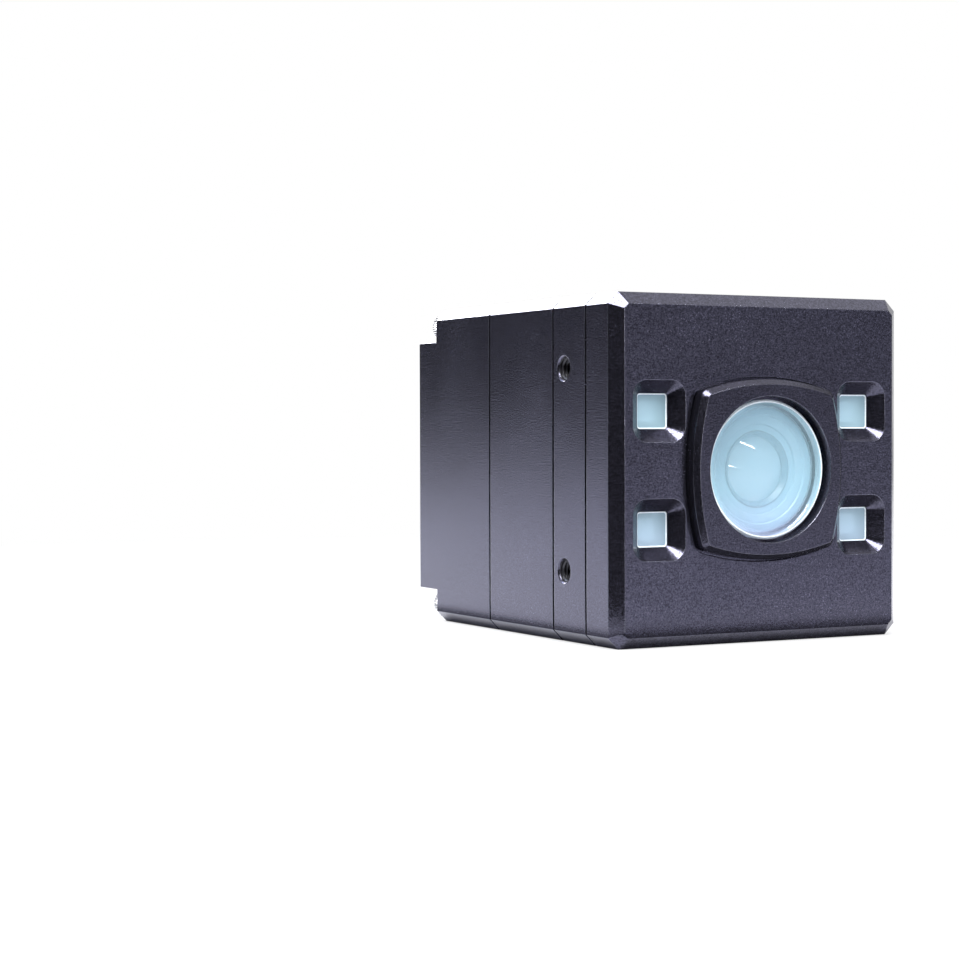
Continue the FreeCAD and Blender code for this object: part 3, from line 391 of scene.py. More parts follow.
def new_group(name, inputs, outputs):
    """Start a shader node group with named inputs and outputs."""
    group = bpy.data.node_groups.new(name, "ShaderNodeTree")
    for socket, kind, default in inputs:
        made = group.interface.new_socket(name=socket, in_out="INPUT", socket_type=kind)
        made.default_value = default
    for socket, kind in outputs:
        group.interface.new_socket(name=socket, in_out="OUTPUT", socket_type=kind)
    given = group.nodes.new("NodeGroupInput").outputs
    result = group.nodes.new("NodeGroupOutput").inputs
    return group, given, result


FLOAT = "NodeSocketFloat"
COLOUR = "NodeSocketColor"
VECTOR = "NodeSocketVector"
GROUPS = {}


def make_grain_group():
    """Fine blasted grain: a speckle, a slow cloud and painted glints, as colour, roughness and
    height.
    """
    group, given, result = new_group(
        "blasted_grain",
        [("Colour", COLOUR, (0.1, 0.1, 0.1, 1)), ("Grain", FLOAT, 5200.0),
         ("Speckle", FLOAT, 0.3), ("Cloud", FLOAT, 0.1), ("Roughness", FLOAT, 0.4)],
        [("Colour", COLOUR), ("Roughness", FLOAT), ("Height", FLOAT)])
    place = object_place(group)
    fine = noise(group, {"Vector": place, "Scale": given["Grain"], "Detail": 2.0,
                         "Roughness": 0.6})
    slow = noise(group, {"Vector": place, "Scale": 70.0, "Detail": 3.0})
    # Random cells lightened in the colour: painted glints.
    cells = vector_maths(group, "MULTIPLY", {0: place, 1: (6500.0,) * 3})
    cell = vector_maths(group, "FLOOR", {0: cells})
    sparkle = put(group, "ShaderNodeTexWhiteNoise", {"Vector": cell}).outputs["Value"]
    glint = ramp(group, sparkle, 0.93, 1.0, 0.0, 1.6)
    light = maths(group, "ADD", ramp(group, fine, 0.3, 0.7, -1.0, 1.0), glint)
    speckled = maths(group, "MULTIPLY", light, given["Speckle"])
    clouded = maths(group, "MULTIPLY", ramp(group, slow, 0.3, 0.7, -1.0, 1.0), given["Cloud"])
    factor = maths(group, "ADD", 1.0, maths(group, "ADD", speckled, clouded))
    group.links.new(vector_maths(group, "SCALE", {0: given["Colour"], "Scale": factor}),
                    result["Colour"])
    coarse = maths(group, "MULTIPLY", ramp(group, fine, 0.3, 0.7, -0.12, 0.12), given["Speckle"])
    rough = maths(group, "ADD", maths(group, "ADD", given["Roughness"], coarse),
                  ramp(group, slow, 0.3, 0.7, -0.015, 0.015))
    group.links.new(rough, result["Roughness"])
    group.links.new(fine, result["Height"])
    return group


def make_edge_group():
    """Edges: a rounded normal, and a mask that is 1 where the surface turns sharply outwards."""
    group, given, result = new_group(
        "softened_edges", [("Radius", FLOAT, 0.0002), ("Break Up", FLOAT, 0.5)],
        [("Mask", FLOAT), ("Normal", VECTOR)])
    round_off = put(group, "ShaderNodeBevel", {"Radius": given["Radius"]}, samples=6).outputs[0]
    flat = put(group, "ShaderNodeNewGeometry").outputs["True Normal"]
    along = vector_maths(group, "DOT_PRODUCT", {0: round_off, 1: flat}, "Value")
    patch = noise(group, {"Vector": object_place(group), "Scale": 900.0, "Detail": 4.0})
    worn = maths(group, "MULTIPLY", ramp(group, patch, 0.35, 0.65), given["Break Up"])
    keep = maths(group, "SUBTRACT", 1.0, worn)
    # The mask lightens edges in the finishes: partly as wear, partly as a painted highlight.
    mask = maths(group, "MULTIPLY", ramp(group, along, 0.99, 0.86), keep)
    group.links.new(mask, result["Mask"])
    group.links.new(round_off, result["Normal"])
    return group


def make_turning_group():
    """Turning marks: fine rings about an axis through the middle, as colour factor and height."""
    group, given, result = new_group(
        "turning_marks",
        [("Centre", VECTOR, (0, 0, 0)), ("Pitch", FLOAT, 9000.0),
         ("Colour", COLOUR, (0.6, 0.6, 0.6, 1)), ("Depth", FLOAT, 0.15)],
        [("Colour", COLOUR), ("Height", FLOAT)])
    place = object_place(group)
    radius = distance_from_axis(group, place, given["Centre"])
    depth = put(group, "ShaderNodeSeparateXYZ", {0: place}).outputs["Y"]
    run = maths(group, "MULTIPLY", maths(group, "ADD", radius, depth), given["Pitch"])
    rings = noise(group, {"W": run, "Scale": 1.0, "Detail": 2.0}, noise_dimensions="1D")
    uneven = maths(group, "MULTIPLY", ramp(group, rings, 0.3, 0.7, -1.0, 1.0), given["Depth"])
    factor = maths(group, "ADD", 1.0, uneven)
    group.links.new(vector_maths(group, "SCALE", {0: given["Colour"], "Scale": factor}),
                    result["Colour"])
    group.links.new(rings, result["Height"])
    return group


def use(tree, name, inputs):
    """Place a shared group in a material with its own values."""
    return put(tree, "ShaderNodeGroup", inputs, node_tree=GROUPS[name]).outputs


def new_material(name, settings):
    """Start a material and give its node tree and its Principled shader."""
    material = bpy.data.materials.new(name)
    material.use_nodes = True
    tree = material.node_tree
    shader = tree.nodes["Principled BSDF"]
    for socket, value in settings.items():
        if isinstance(value, (tuple, list)) and len(value) == 3:
            value = (*value, 1.0)
        shader.inputs[socket].default_value = value
    return material, tree, shader


def bump(tree, height, distance, strength, normal=None):
    """Add a Bump node and give its normal."""
    inputs = {"Height": height, "Distance": distance, "Strength": strength}
    if normal is not None:
        inputs["Normal"] = normal
    return put(tree, "ShaderNodeBump", inputs).outputs[0]


# ---------------------------------------------------------------- finishes
def housing_finish(name="anodised_housing", shade=1.0):
    """Dark anodising over a fine blast: speckled, clouded, and lighter along the edges, partly as
    wear and partly as a painted highlight.
    """
    look = colours()
    colour = [part * shade for part in look.housing]
    material, tree, shader = new_material(name, {"Metallic": 0.92})
    edges = use(tree, "edges", {"Radius": 0.00022, "Break Up": 0.55})
    grain = use(tree, "grain", {"Colour": (*colour, 1), "Grain": 3300.0, "Speckle": 0.50,
                                "Cloud": 0.06, "Roughness": 0.21})
    # Edges turn towards the edge colour: partly wear, partly a painted highlight.
    worn = maths(tree, "MULTIPLY", edges["Mask"], 0.55)
    colour = blend_colour(tree, worn, grain["Colour"], tuple(look.edge_wear_and_highlight))
    tree.links.new(colour, shader.inputs["Base Color"])
    tree.links.new(grain["Roughness"], shader.inputs["Roughness"])
    normal = bump(tree, grain["Height"], 0.00005, 0.45, edges["Normal"])
    tree.links.new(normal, shader.inputs["Normal"])
    return material


def plain_finish(name, colour, roughness, metallic=0.0, grain=3000.0, speckle=0.12, depth=0.00002,
                 **more):
    """A moulded, printed or ceramic surface with its own fine grain."""
    material, tree, shader = new_material(name, {"Metallic": metallic, **more})
    made = use(tree, "grain", {"Colour": (*colour, 1), "Grain": grain, "Speckle": speckle,
                               "Cloud": 0.08, "Roughness": roughness})
    tree.links.new(made["Colour"], shader.inputs["Base Color"])
    tree.links.new(made["Roughness"], shader.inputs["Roughness"])
    tree.links.new(bump(tree, made["Height"], depth, 0.3), shader.inputs["Normal"])
    return material


def turned_finish(name, colour, centre, roughness, depth=0.15):
    """Turned metal with fine rings about its own middle, and softened edges lightened to pale grey
    as a painted highlight.
    """
    material, tree, shader = new_material(name, {"Metallic": 1.0, "Roughness": roughness})
    marks = use(tree, "turning", {"Centre": centre, "Colour": (*colour, 1), "Depth": depth})
    edges = use(tree, "edges", {"Radius": 0.0001, "Break Up": 0.2})
    # Pale grey along the edges: a painted highlight.
    bright = blend_colour(tree, maths(tree, "MULTIPLY", edges["Mask"], 0.5), marks["Colour"],
                          (0.75, 0.75, 0.78))
    tree.links.new(bright, shader.inputs["Base Color"])
    normal = bump(tree, marks["Height"], 0.00001, 0.3, edges["Normal"])
    tree.links.new(normal, shader.inputs["Normal"])
    return material


def window_finish(name, colour, veil, lift, lavender, rim=None):
    """Coated glass: a pale veil that turns towards lavender low down, and a sharp gloss. The veil
    is partly the coating's tint and partly a painted reflection of the bright surroundings.

    The tint moves with height across the pane. Where a rim radius is given, the pane turns milky
    towards its ground edge.
    """
    material, tree, shader = new_material(name, {
        "Roughness": 0.05, "IOR": 1.5, "Coat Weight": 1.0, "Coat Roughness": 0.02, "Alpha": veil})
    place = object_place(tree)
    height = put(tree, "ShaderNodeSeparateXYZ", {0: place}).outputs["Z"]
    low = ramp(tree, height, 0.026, 0.017)
    patch = noise(tree, {"Vector": place, "Scale": 160.0, "Detail": 2.0})
    cloud = blend_colour(tree, ramp(tree, patch, 0.3, 0.7, 0.0, 0.25), colour, lift)
    tinted = blend_colour(tree, maths(tree, "MULTIPLY", low, lavender), cloud, (0.50, 0.52, 0.84))
    tree.links.new(tinted, shader.inputs["Base Color"])
    if rim:
        radius = distance_from_axis(tree, place, (0.0, 0.0, 0.03))
        milky = ramp(tree, radius, rim - 0.0016, rim - 0.0006, veil, 0.50)
        tree.links.new(milky, shader.inputs["Alpha"])
    return material


def board_finish():
    """Solder mask over copper runs: a fine grid of tracks with a satin skin."""
    material, tree, shader = new_material("circuit_board", {"Coat Weight": 0.4})
    flat = put(tree, "ShaderNodeMapping", {
        "Vector": object_place(tree), "Rotation": (math.pi / 2, 0, 0), "Scale": (400.0,) * 3})
    tracks = put(tree, "ShaderNodeTexBrick", {
        "Vector": flat.outputs[0],
        "Color1": (0.2, 0.2, 0.2, 1), "Color2": (0.8, 0.8, 0.8, 1), "Mortar Size": 0.05,
        "Scale": 1.0}).outputs["Color"]
    made = use(tree, "grain", {"Colour": (*colours().board, 1), "Grain": 2500.0, "Speckle": 0.1,
                               "Cloud": 0.1, "Roughness": 0.35})
    colour = blend_colour(tree, 0.25, made["Colour"], tracks, "MULTIPLY")
    tree.links.new(colour, shader.inputs["Base Color"])
    tree.links.new(made["Roughness"], shader.inputs["Roughness"])
    tree.links.new(bump(tree, tracks, 0.00003, 0.3), shader.inputs["Normal"])
    return material


def emitter_finish():
    """A pale ceramic package with its grid of small lenses."""
    material, tree, shader = new_material("laser_emitter", {"Roughness": 0.35, "Coat Weight": 0.3})
    cells = put(tree, "ShaderNodeTexVoronoi", {
        "Vector": object_place(tree), "Scale": 3200.0, "Randomness": 0.2}).outputs["Distance"]
    colour = blend_colour(tree, ramp(tree, cells, 0.1, 0.6), (0.80, 0.90, 0.95), (0.60, 0.78, 0.88))
    tree.links.new(colour, shader.inputs["Base Color"])
    tree.links.new(bump(tree, cells, 0.00005, 0.4), shader.inputs["Normal"])
    return material


def make_finishes():
    """Make every finish, keyed by material slot, or by piece where it differs from its slot."""
    GROUPS.update(grain=make_grain_group(), edges=make_edge_group(), turning=make_turning_group())
    look = colours()
    turning_centre = mount_at("network_socket")
    return {
        "housing": housing_finish(),
        "window_glass": window_finish("window_glass", tuple(look.glass), 0.22,
                                      (0.60, 0.80, 0.90), 0.8, 0.012),
        "laser_glass": window_finish("laser_glass", tuple(look.laser_glass), 0.42,
                                     (0.60, 0.84, 0.94), 0.3),
        "emitter": emitter_finish(),
        "circuit_board": board_finish(),
        "chip": plain_finish("moulded_chip", (0.02, 0.02, 0.022), 0.55),
        "thermal_pad": plain_finish("thermal_pad", (0.30, 0.38, 0.46), 0.8),
        "lens_black": plain_finish("lens_black", (0.020, 0.024, 0.028), 0.38, 0.3),
        "lens_glass": plain_finish("lens_coating", (0.29, 0.42, 0.50), 0.05, 0.0, 900.0, 0.02,
                                   0.000001, **{"Coat Weight": 1.0}),
        "sensor": plain_finish("sensor_face", (0.03, 0.03, 0.05), 0.15),
        "bare_metal": plain_finish("milled_aluminium", (0.70, 0.71, 0.72), 0.35, 1.0),
        "connector": plain_finish("connector_plastic", (0.03, 0.03, 0.03), 0.5),
        "flat_cable": plain_finish("flat_cable", (0.40, 0.16, 0.04), 0.3),
        "socket_metal": turned_finish("socket_metal", tuple(look.socket), turning_centre,
                                      0.22),
        "shield_metal": plain_finish("shield_metal", (0.24, 0.24, 0.25), 0.30, 1.0),
        "socket_plastic": plain_finish("socket_plastic", (0.022, 0.022, 0.026), 0.42),
        "contact": plain_finish("contact_metal", tuple(look.contact), 0.3, 1.0),
        "light_pipe": plain_finish("light_pipe", (0.055, 0.056, 0.066), 0.30, 0.0, 1500.0, 0.05,
                                   **{"Transmission Weight": 0.3, "Coat Weight": 0.5}),
        "lamp": plain_finish("status_lamp", (0.75, 0.78, 0.70), 0.3),
        "screw_steel": plain_finish("screw_steel", tuple(look.steel), 0.24, 1.0, 4000.0, 0.10),
        "seal": plain_finish("seal_rubber", (0.02, 0.02, 0.022), 0.7),
        "thread": plain_finish("cut_thread", (0.03, 0.03, 0.036), 0.35, 0.6),
        "socket_thread": plain_finish("socket_thread", (0.05, 0.05, 0.055), 0.35, 0.8),
        "lens_ring": plain_finish("lens_ring", (0.24, 0.385, 0.47), 0.35),
        "clamp_ring": plain_finish("clamp_ring", (0.11, 0.20, 0.26), 0.35),
        # A pale finish for thin rims on the glass edges: a painted highlight where the edges catch
        # the light.
        "ground_edge": plain_finish("ground_edge", (0.80, 0.88, 0.92), 0.22),
        "bezel": housing_finish("anodised_bezel", 0.85),
    }


FINISHES = {}


# ---------------------------------------------------------------- the fine pieces
def add_side_threads():
    """Screw threads in the four side bores, from the record's bolt patterns."""
    size = sizes()
    grids = []
    for mount in SIDE_THREADS:
        sign = mount["axis"][0]
        radius = mount["dims"]["hole_r_mm"] * MM
        reach = mount["dims"]["spacing_y_mm"] * MM / 2
        x, y, z = mount["pos_m"]
        for place in (z - reach, z + reach):
            start = (x - sign * MOUTH_SETBACK, y, place)
            grids.append(threaded_ring(start, radius * RING_SHARE, radius * ROOT_SHARE,
                                       size.side_crest, size.side_pitch, size.side_reach,
                                       "X", -sign))
    build("side_thread_rings", grids, FINISHES["thread"], ring=True)


def add_socket_threads():
    """Fine threads inside the shells of both sockets."""
    size = sizes()
    for name, node, crest in (("network_socket", "lan_shell", size.lan_crest),
                              ("power_socket", "io_shell", size.io_crest)):
        x, y, z = mount_at(name)
        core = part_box(node.replace("shell", "insert"))
        outer = (crest + SOCKET_THREAD_WALL) * SOCKET_RING_SHARE
        start = (x, y - SOCKET_SETBACK, z)
        grid = threaded_ring(start, outer, outer - SOCKET_ROOT_DEPTH, crest, size.socket_pitch,
                             size.socket_reach, "Y", -1, SOCKET_THREAD_COLUMNS)
        if crest <= (core[1].x - core[0].x) / 2:
            raise RuntimeError(f"the thread of {name} reaches its insert")
        build(f"{name}_thread", [grid], FINISHES["socket_thread"], ring=True)


def add_cover_screws():
    """Socket-head screws with knurled heads, in place of the plain ones.

    The head's side is head radius + knurl height * |cos(count * a / 2)|, faded out at its two
    ends, and the socket's walls follow the hexagon's radius at each angle.
    """
    size = sizes()
    low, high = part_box("cover_screws")
    columns = size.knurl_count * 6
    angle = np.linspace(0, TURN, columns, endpoint=False)
    ridge = size.knurl_height * np.abs(np.cos(angle * size.knurl_count / 2))
    key = hexagon_radius(size.hex_flats, columns)
    head, shank = SCREW_HEAD, SCREW_SHANK
    top = high.y
    under = top - SCREW_HEAD_HEIGHT
    tip = [(0.0, low.y), (shank * 0.75, low.y), (shank, low.y + 0.0004), (shank, under)]
    side = [
        (head - 0.00012, under), (head, under + 0.00010), (head + ridge, under + 0.00022),
        (head + ridge, top - 0.00062), (head + ridge * 0.3, top - 0.00048),
    ]
    bevel = [
        (head - 0.00004, top - 0.00036), (head - 0.00014, top - 0.00014),
        (head - 0.00034, top - 0.00003), (head - 0.00050, top),
    ]
    socket = [
        (key * 1.03 + 0.00012, top), (key, top - 0.00014), (key, top - size.hex_deep),
        (key * 0.3, top - size.hex_deep - 0.0003), (0.0, top - size.hex_deep - 0.0004),
    ]
    profile = tip + side + bevel + socket
    edge_x = high.x - SCREW_INSET
    edge_z = (high.z - low.z) / 2 - SCREW_INSET
    middle_z = (high.z + low.z) / 2
    grids = [turned(profile, (sx * edge_x, 0.0, middle_z + sz * edge_z), columns)
             for sx, sz in ((1, 1), (-1, 1), (-1, -1), (1, -1))]
    build("knurled_cover_screws", grids, FINISHES["screw_steel"],
          replaced=("cover_screws",))


def contact_places(centre, radius, angles, middle=False):
    """Centres of a socket's contacts on their circle."""
    places = [(centre[0], centre[2])] if middle else []
    for angle in angles:
        places.append((centre[0] + radius * math.cos(angle), centre[2] + radius * math.sin(angle)))
    return places


def add_contacts():
    """Round contact sleeves with a bevelled mouth, in place of the plain contacts."""
    lan_angles = [TURN / 8 + TURN / 4 * quarter + side for quarter in range(4)
                  for side in (-LAN_SPREAD, LAN_SPREAD)]
    io_angles = [math.pi + TURN * step / 7 for step in range(7)]
    outer, inner = SLEEVE_OUTER, SLEEVE_INNER
    for node, mount, radius, angles, middle in (
            ("lan_contacts", "network_socket", LAN_CIRCLE, lan_angles, False),
            ("io_contacts", "power_socket", IO_CIRCLE, io_angles, True)):
        low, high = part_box(node)
        back = high.y - SLEEVE_DEPTH
        profile = [
            (0.0, low.y), (outer, low.y), (outer, high.y - 0.00006),
            (outer - SLEEVE_BEVEL, high.y), (inner + SLEEVE_BEVEL, high.y),
            (inner, high.y - 0.00006), (inner, back), (0.0, back - 0.0002),
        ]
        grids = [turned(profile, (x, 0.0, z), SLEEVE_COLUMNS)
                 for x, z in contact_places(mount_at(mount), radius, angles, middle)]
        build(f"{node}_sleeves", grids, FINISHES["contact"], replaced=(node,))


def middle_and_radius(node):
    """Give a round piece's middle in x and z, its radius, and its two ends in y."""
    low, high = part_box(node)
    centre = ((low.x + high.x) / 2, 0.0, (low.z + high.z) / 2)
    return centre, (high.x - low.x) / 2, low.y, high.y


def dome(radius, rim, height, rows):
    """Points from a dome's rim in to its top: (r, rim + height * (1 - (r / radius) ** 2))."""
    return [(radius * t, rim + height * (1 - t * t)) for t in np.linspace(1, 0, rows)]


def add_front_glass():
    """The lens's domed front glass, in place of the plain one, and the two rings round it.

    The glass bulges forwards by sag * (1 - (r / rim radius) ** 2). The baffle and the clamp ring
    are turned from their sections, which start at the barrel's front face.
    """
    centre, rim, front, back = middle_and_radius("lens_front_element")
    profile = [(0.0, back), (rim, back)] + dome(rim, front, -sizes().lens_sag, 25)
    build("front_lens_glass", [turned(profile, centre, LENS_COLUMNS)], FINISHES["lens_glass"],
          replaced=("lens_front_element",))

    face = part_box("lens_barrel")[0].y
    for name, section, finish in (("lens_baffle", BAFFLE_SECTION, "lens_ring"),
                                  ("lens_clamp_ring", CLAMP_SECTION, "clamp_ring")):
        profile = [(radius, face + behind) for radius, behind in section]
        build(name, [turned(profile, centre, LENS_COLUMNS)], FINISHES[finish],
              ring=True)


def add_window():
    """The lens window with its bevel, in place of the plain one, and a pale ring on its edge as a
    painted highlight.
    """
    centre, reach, front, back = middle_and_radius("lens_window")
    bevel = sizes().window_bevel
    pane = [
        (0.0, back), (reach - bevel, back), (reach, back - bevel), (reach, front + bevel),
        (reach - bevel, front), (0.0, front),
    ]
    build("lens_window_pane", [turned(pane, centre, WINDOW_COLUMNS)], FINISHES["window_glass"],
          replaced=("lens_window",))
    # A pale ring over the pane's edge: a painted highlight.
    outer, inner = reach + 0.00002, reach - bevel - 0.00016
    edge = [
        (outer, front + bevel + 0.00025), (outer, front + bevel * 0.9),
        (reach - bevel * 0.9, front - 0.00002), (inner, front - 0.00002),
        (inner, front + 0.00005), (reach - bevel, front + 0.00006),
        (reach - 0.00006, front + bevel + 0.0001),
    ]
    build("window_ground_edge", [turned(edge, centre, WINDOW_COLUMNS)], FINISHES["ground_edge"],
          ring=True)


def rounded_square(reach, corner, columns):
    """Points round a square with rounded corners, as x and z arrays, at even angles.

    A point lies where a ray meets the sides, or the corner's arc beyond the end of a side.
    """
    angle = np.linspace(0, TURN, columns, endpoint=False)
    ray_x, ray_z = np.cos(angle), np.sin(angle)
    side = reach / np.maximum(np.abs(ray_x), np.abs(ray_z))
    middle = reach - corner
    along = np.abs(ray_x) * middle + np.abs(ray_z) * middle
    arc = along + np.sqrt(np.maximum(along ** 2 - 2 * middle ** 2 + corner ** 2, 0))
    on_arc = np.minimum(np.abs(ray_x), np.abs(ray_z)) * side > middle
    distance = np.where(on_arc, arc, side)
    return distance * ray_x, distance * ray_z


def add_laser_rims():
    """Pale rims round the four laser windows, at the foot of their tapered pockets: painted
    highlights on the glass edges.

    A rim's section is pairs of (distance inwards from the edge, distance before the pane's face).
    """
    grids = []
    for node in [name for name in frame["nodes"] if name.startswith("laser_window_")]:
        low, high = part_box(node)
        middle_x, middle_z = (low.x + high.x) / 2, (low.z + high.z) / 2
        rows = []
        for inwards, before in LASER_RIM_SECTION:
            x, z = rounded_square(LASER_REACH - inwards, LASER_CORNER - inwards * 0.5,
                                  WINDOW_COLUMNS)
            depth = np.full(WINDOW_COLUMNS, low.y - before)
            rows.append(np.stack([x + middle_x, depth, z + middle_z], axis=-1))
        grids.append(np.array(rows))
    build("laser_window_rims", grids, FINISHES["ground_edge"], ring=True)


def add_status_light():
    """The light pipe with its domed end, in place of the plain one.

    The dome starts 0.3 mm before the plain end and rises by 0.9 * dome * (1 - (r / radius) ** 2).
    """
    centre, rim, inner_end, outer_end = middle_and_radius("light_pipe")
    height = sizes().lamp_dome * 0.9
    profile = [(0.0, inner_end), (rim, inner_end)] + dome(rim, outer_end - 0.0003, height, 17)
    build("domed_light_pipe", [turned(profile, centre, DOME_COLUMNS)], FINISHES["light_pipe"],
          replaced=("light_pipe",))


def dress_nodes():
    """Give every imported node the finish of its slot."""
    for part in frame["record"]["subparts"]:
        mesh = frame["nodes"][part["node"]].data
        bezel = part["node"] == "window_bezel"
        finish = FINISHES["bezel" if bezel else part["material_slot"]]
        if mesh.materials:
            for index in range(len(mesh.materials)):
                mesh.materials[index] = finish
        else:
            mesh.materials.append(finish)


# ---------------------------------------------------------------- stage
def aim(thing, place, target):
    """Put a lamp or card at a place, with its face towards the target."""
    away = Vector(place) - Vector(target)
    turn = away.to_track_quat("Z", "Y").to_matrix().to_4x4()
    thing.matrix_world = Matrix.Translation(place) @ turn


def add_lamp(name, place, size, power, colour=(1.0, 1.0, 1.0), target=CAMERA_MIDDLE, roll=0.0):
    """A soft rectangular lamp, size metres wide and high, rolled about its own axis."""
    data = bpy.data.lights.new(name, "AREA")
    data.shape = "RECTANGLE"
    data.size, data.size_y = size
    data.energy = power
    data.color = colour
    lamp = bpy.data.objects.new(name, data)
    bpy.context.scene.collection.objects.link(lamp)
    aim(lamp, place, target)
    lamp.matrix_world = lamp.matrix_world @ Matrix.Rotation(roll, 4, "Z")
    lamp.visible_camera = False


def flat_mesh(name, reach_x, reach_y, material):
    """Make a rectangle about the origin with one material."""
    mesh = bpy.data.meshes.new(name)
    corners = [(-reach_x, -reach_y, 0), (reach_x, -reach_y, 0), (reach_x, reach_y, 0),
               (-reach_x, reach_y, 0)]
    mesh.from_pydata(corners, [], [(0, 1, 2, 3)])
    mesh.materials.append(material)
    thing = bpy.data.objects.new(name, mesh)
    bpy.context.scene.collection.objects.link(thing)
    return thing


def add_card(name, place, size, shade, lying):
    """A grey studio card that shapes the reflections and that the camera doesn't see."""
    material, _, _ = new_material(name, {
        "Base Color": (shade, shade, shade * 1.1), "Roughness": 0.9, "Specular IOR Level": 0.0})
    card = flat_mesh(name, size[0] / 2, size[1] / 2, material)
    aim(card, place, (place[0], place[1], 1.0) if lying else CAMERA_MIDDLE)
    card.visible_camera = False
    card.visible_shadow = False


def add_floor():
    """A pale floor that shows white to the camera and keeps the camera's soft shadow."""
    material, tree, shader = new_material("studio_floor", {
        "Base Color": (0.60, 0.60, 0.62), "Roughness": 0.6})
    path = put(tree, "ShaderNodeLightPath").outputs
    white = put(tree, "ShaderNodeEmission", {"Color": (1.0, 1.0, 1.0), "Strength": 1.0}).outputs[0]
    away = vector_maths(tree, "LENGTH", {0: object_place(tree)}, "Value")
    share = ramp(tree, away, 0.10, 0.35, 0.70, 1.0)
    factor = maths(tree, "MULTIPLY", path["Is Camera Ray"], share)
    mixed = put(tree, "ShaderNodeMixShader", {0: factor, 1: shader.outputs[0], 2: white})
    tree.links.new(mixed.outputs[0], tree.nodes["Material Output"].inputs["Surface"])
    floor = flat_mesh("studio_floor", FLOOR_REACH, FLOOR_REACH, material)
    floor.location.z = -FLOOR_DROP


def add_world():
    """White where the camera, metal and glass look, and a soft grey fill for everything else."""
    world = bpy.data.worlds.new("studio")
    bpy.context.scene.world = world
    world.use_nodes = True
    tree = world.node_tree
    path = put(tree, "ShaderNodeLightPath").outputs
    seen = maths(tree, "MAXIMUM", path["Is Camera Ray"],
                 maths(tree, "MAXIMUM", path["Is Glossy Ray"], path["Is Transmission Ray"]))
    white = put(tree, "ShaderNodeBackground", {"Color": (1.0, 1.0, 1.0), "Strength": 1.0})
    fill = put(tree, "ShaderNodeBackground", {"Color": (0.93, 0.95, 1.0), "Strength": 0.55})
    mixed = put(tree, "ShaderNodeMixShader",
                {0: seen, 1: fill.outputs[0], 2: white.outputs[0]}).outputs[0]
    tree.links.new(mixed, tree.nodes["World Output"].inputs["Surface"])


def add_camera():
    """The view on the front left, from a little above the lens axis."""
    yaw, pitch, roll = (math.radians(turn) for turn in (VIEW_YAW, VIEW_PITCH, VIEW_ROLL))
    forward = Vector((math.sin(yaw) * math.cos(pitch), math.cos(yaw) * math.cos(pitch),
                      -math.sin(pitch)))
    right = Vector((math.cos(yaw), -math.sin(yaw), 0.0))
    up = right.cross(forward)
    across = right * math.cos(roll) + up * math.sin(roll)
    upwards = up * math.cos(roll) - right * math.sin(roll)
    data = bpy.data.cameras.new("view_camera")
    data.sensor_width = SENSOR_WIDTH
    data.lens = SENSOR_WIDTH * VIEW_FOCAL_RATIO
    data.clip_start = 0.01
    camera = bpy.data.objects.new("view_camera", data)
    bpy.context.scene.collection.objects.link(camera)
    turn = Matrix((across, upwards, -forward)).transposed().to_4x4()
    camera.matrix_world = Matrix.Translation(VIEW_PLACE) @ turn
    bpy.context.scene.camera = camera


def set_stage():
    """Floor, cards, lamps, world and camera."""
    bpy.context.scene.view_settings.view_transform = "Standard"
    add_floor()
    add_world()
    for name, place, size, power, more in LAMPS:
        add_lamp(name, place, size, power, **more)
    for name, place, size, shade, lying in CARDS:
        add_card(name, place, size, shade, lying)
    add_camera()


# ---------------------------------------------------------------- operators and panel
class CAMERA_OT_finishes(Operator):
    """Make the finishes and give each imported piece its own"""

    bl_idname = "vision_camera.finishes"
    bl_label = "Finish the packed pieces"

    def execute(self, context):
        FINISHES.update(make_finishes())
        dress_nodes()
        return {"FINISHED"}


class CAMERA_OT_threads(Operator):
    """Cut the threads in the side bores and in both sockets"""

    bl_idname = "vision_camera.threads"
    bl_label = "Threads"

    def execute(self, context):
        add_side_threads()
        add_socket_threads()
        return {"FINISHED"}


class CAMERA_OT_screws(Operator):
    """Put knurled socket-head screws in the corner notches"""

    bl_idname = "vision_camera.screws"
    bl_label = "Cover screws"

    def execute(self, context):
        add_cover_screws()
        return {"FINISHED"}


class CAMERA_OT_contacts(Operator):
    """Put round sleeves in the contact holes of both sockets"""

    bl_idname = "vision_camera.contacts"
    bl_label = "Socket contacts"

    def execute(self, context):
        add_contacts()
        return {"FINISHED"}


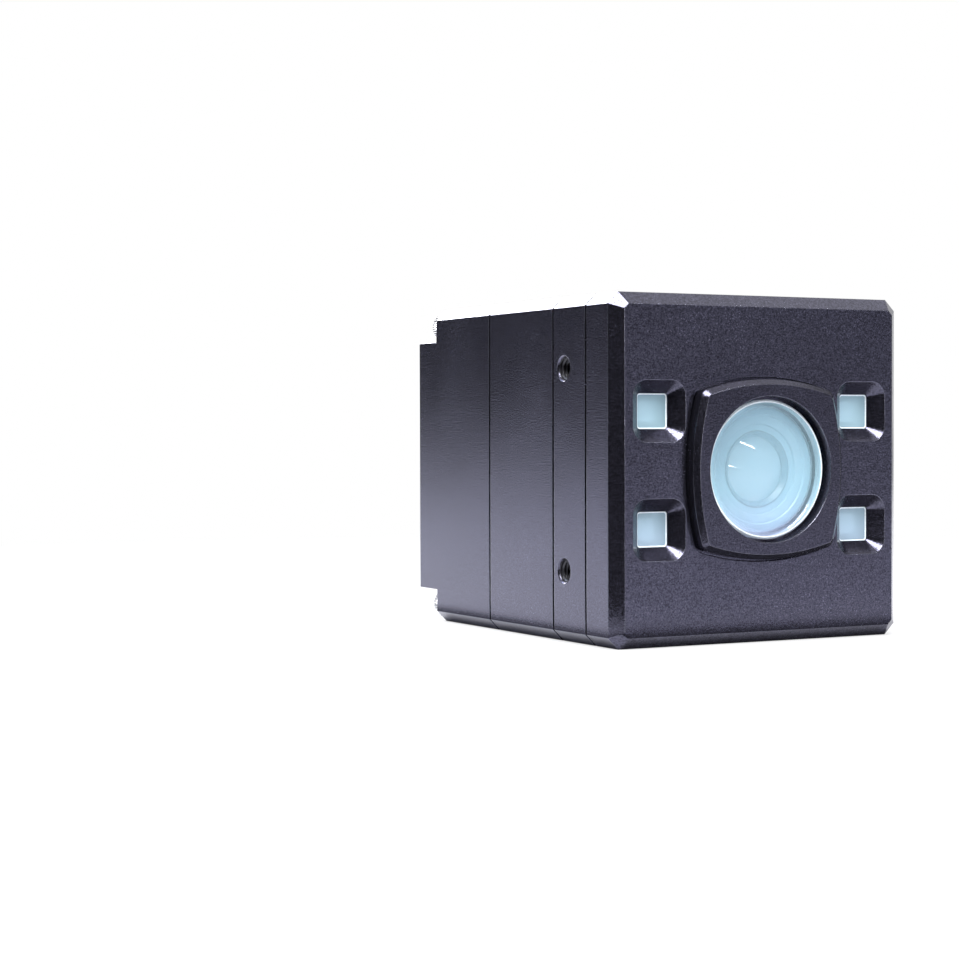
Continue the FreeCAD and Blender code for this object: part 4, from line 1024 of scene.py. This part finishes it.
class CAMERA_OT_lens(Operator):
    """Build the front glass, its rings, the lens window and the laser windows' rims"""

    bl_idname = "vision_camera.lens"
    bl_label = "Lens and window"

    def execute(self, context):
        add_front_glass()
        add_window()
        add_laser_rims()
        return {"FINISHED"}


class CAMERA_OT_status_light(Operator):
    """Build the domed light pipe"""

    bl_idname = "vision_camera.status_light"
    bl_label = "Status light"

    def execute(self, context):
        add_status_light()
        return {"FINISHED"}


class CAMERA_OT_stage(Operator):
    """Set up the floor, the lamps and the view"""

    bl_idname = "vision_camera.stage"
    bl_label = "Stage"

    def execute(self, context):
        set_stage()
        return {"FINISHED"}


STEPS = (CAMERA_OT_finishes, CAMERA_OT_threads, CAMERA_OT_screws, CAMERA_OT_contacts,
         CAMERA_OT_lens, CAMERA_OT_status_light, CAMERA_OT_stage)


class CAMERA_PT_dressing(Panel):
    """Sizes, colours and steps of the camera's dressing"""

    bl_idname = "CAMERA_PT_dressing"
    bl_label = "Machine vision camera"
    bl_space_type = "VIEW_3D"
    bl_region_type = "UI"
    bl_category = "Vision Camera"

    def draw(self, context):
        layout = self.layout
        for step in STEPS:
            layout.operator(step.bl_idname)
        for title, values in (("Sizes", sizes()), ("Colours", colours())):
            box = layout.box()
            box.label(text=title)
            for name in values.__annotations__:
                box.prop(values, name)


CLASSES = (CameraSizes, CameraColours, *STEPS, CAMERA_PT_dressing)


def register():
    """Add the classes and this scene's settings."""
    for each in CLASSES:
        bpy.utils.register_class(each)
    bpy.types.Scene.camera_sizes = PointerProperty(type=CameraSizes)
    bpy.types.Scene.camera_colours = PointerProperty(type=CameraColours)


def unregister():
    """Take the classes and settings away."""
    del bpy.types.Scene.camera_sizes
    del bpy.types.Scene.camera_colours
    for each in reversed(CLASSES):
        bpy.utils.unregister_class(each)


def main():
    """Dress the camera and set the stage."""
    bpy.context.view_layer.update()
    register()
    bpy.ops.vision_camera.finishes()
    bpy.ops.vision_camera.threads()
    bpy.ops.vision_camera.screws()
    bpy.ops.vision_camera.contacts()
    bpy.ops.vision_camera.lens()
    bpy.ops.vision_camera.status_light()
    bpy.ops.vision_camera.stage()
    bpy.context.view_layer.update()


if __name__ == "__main__":
    main()
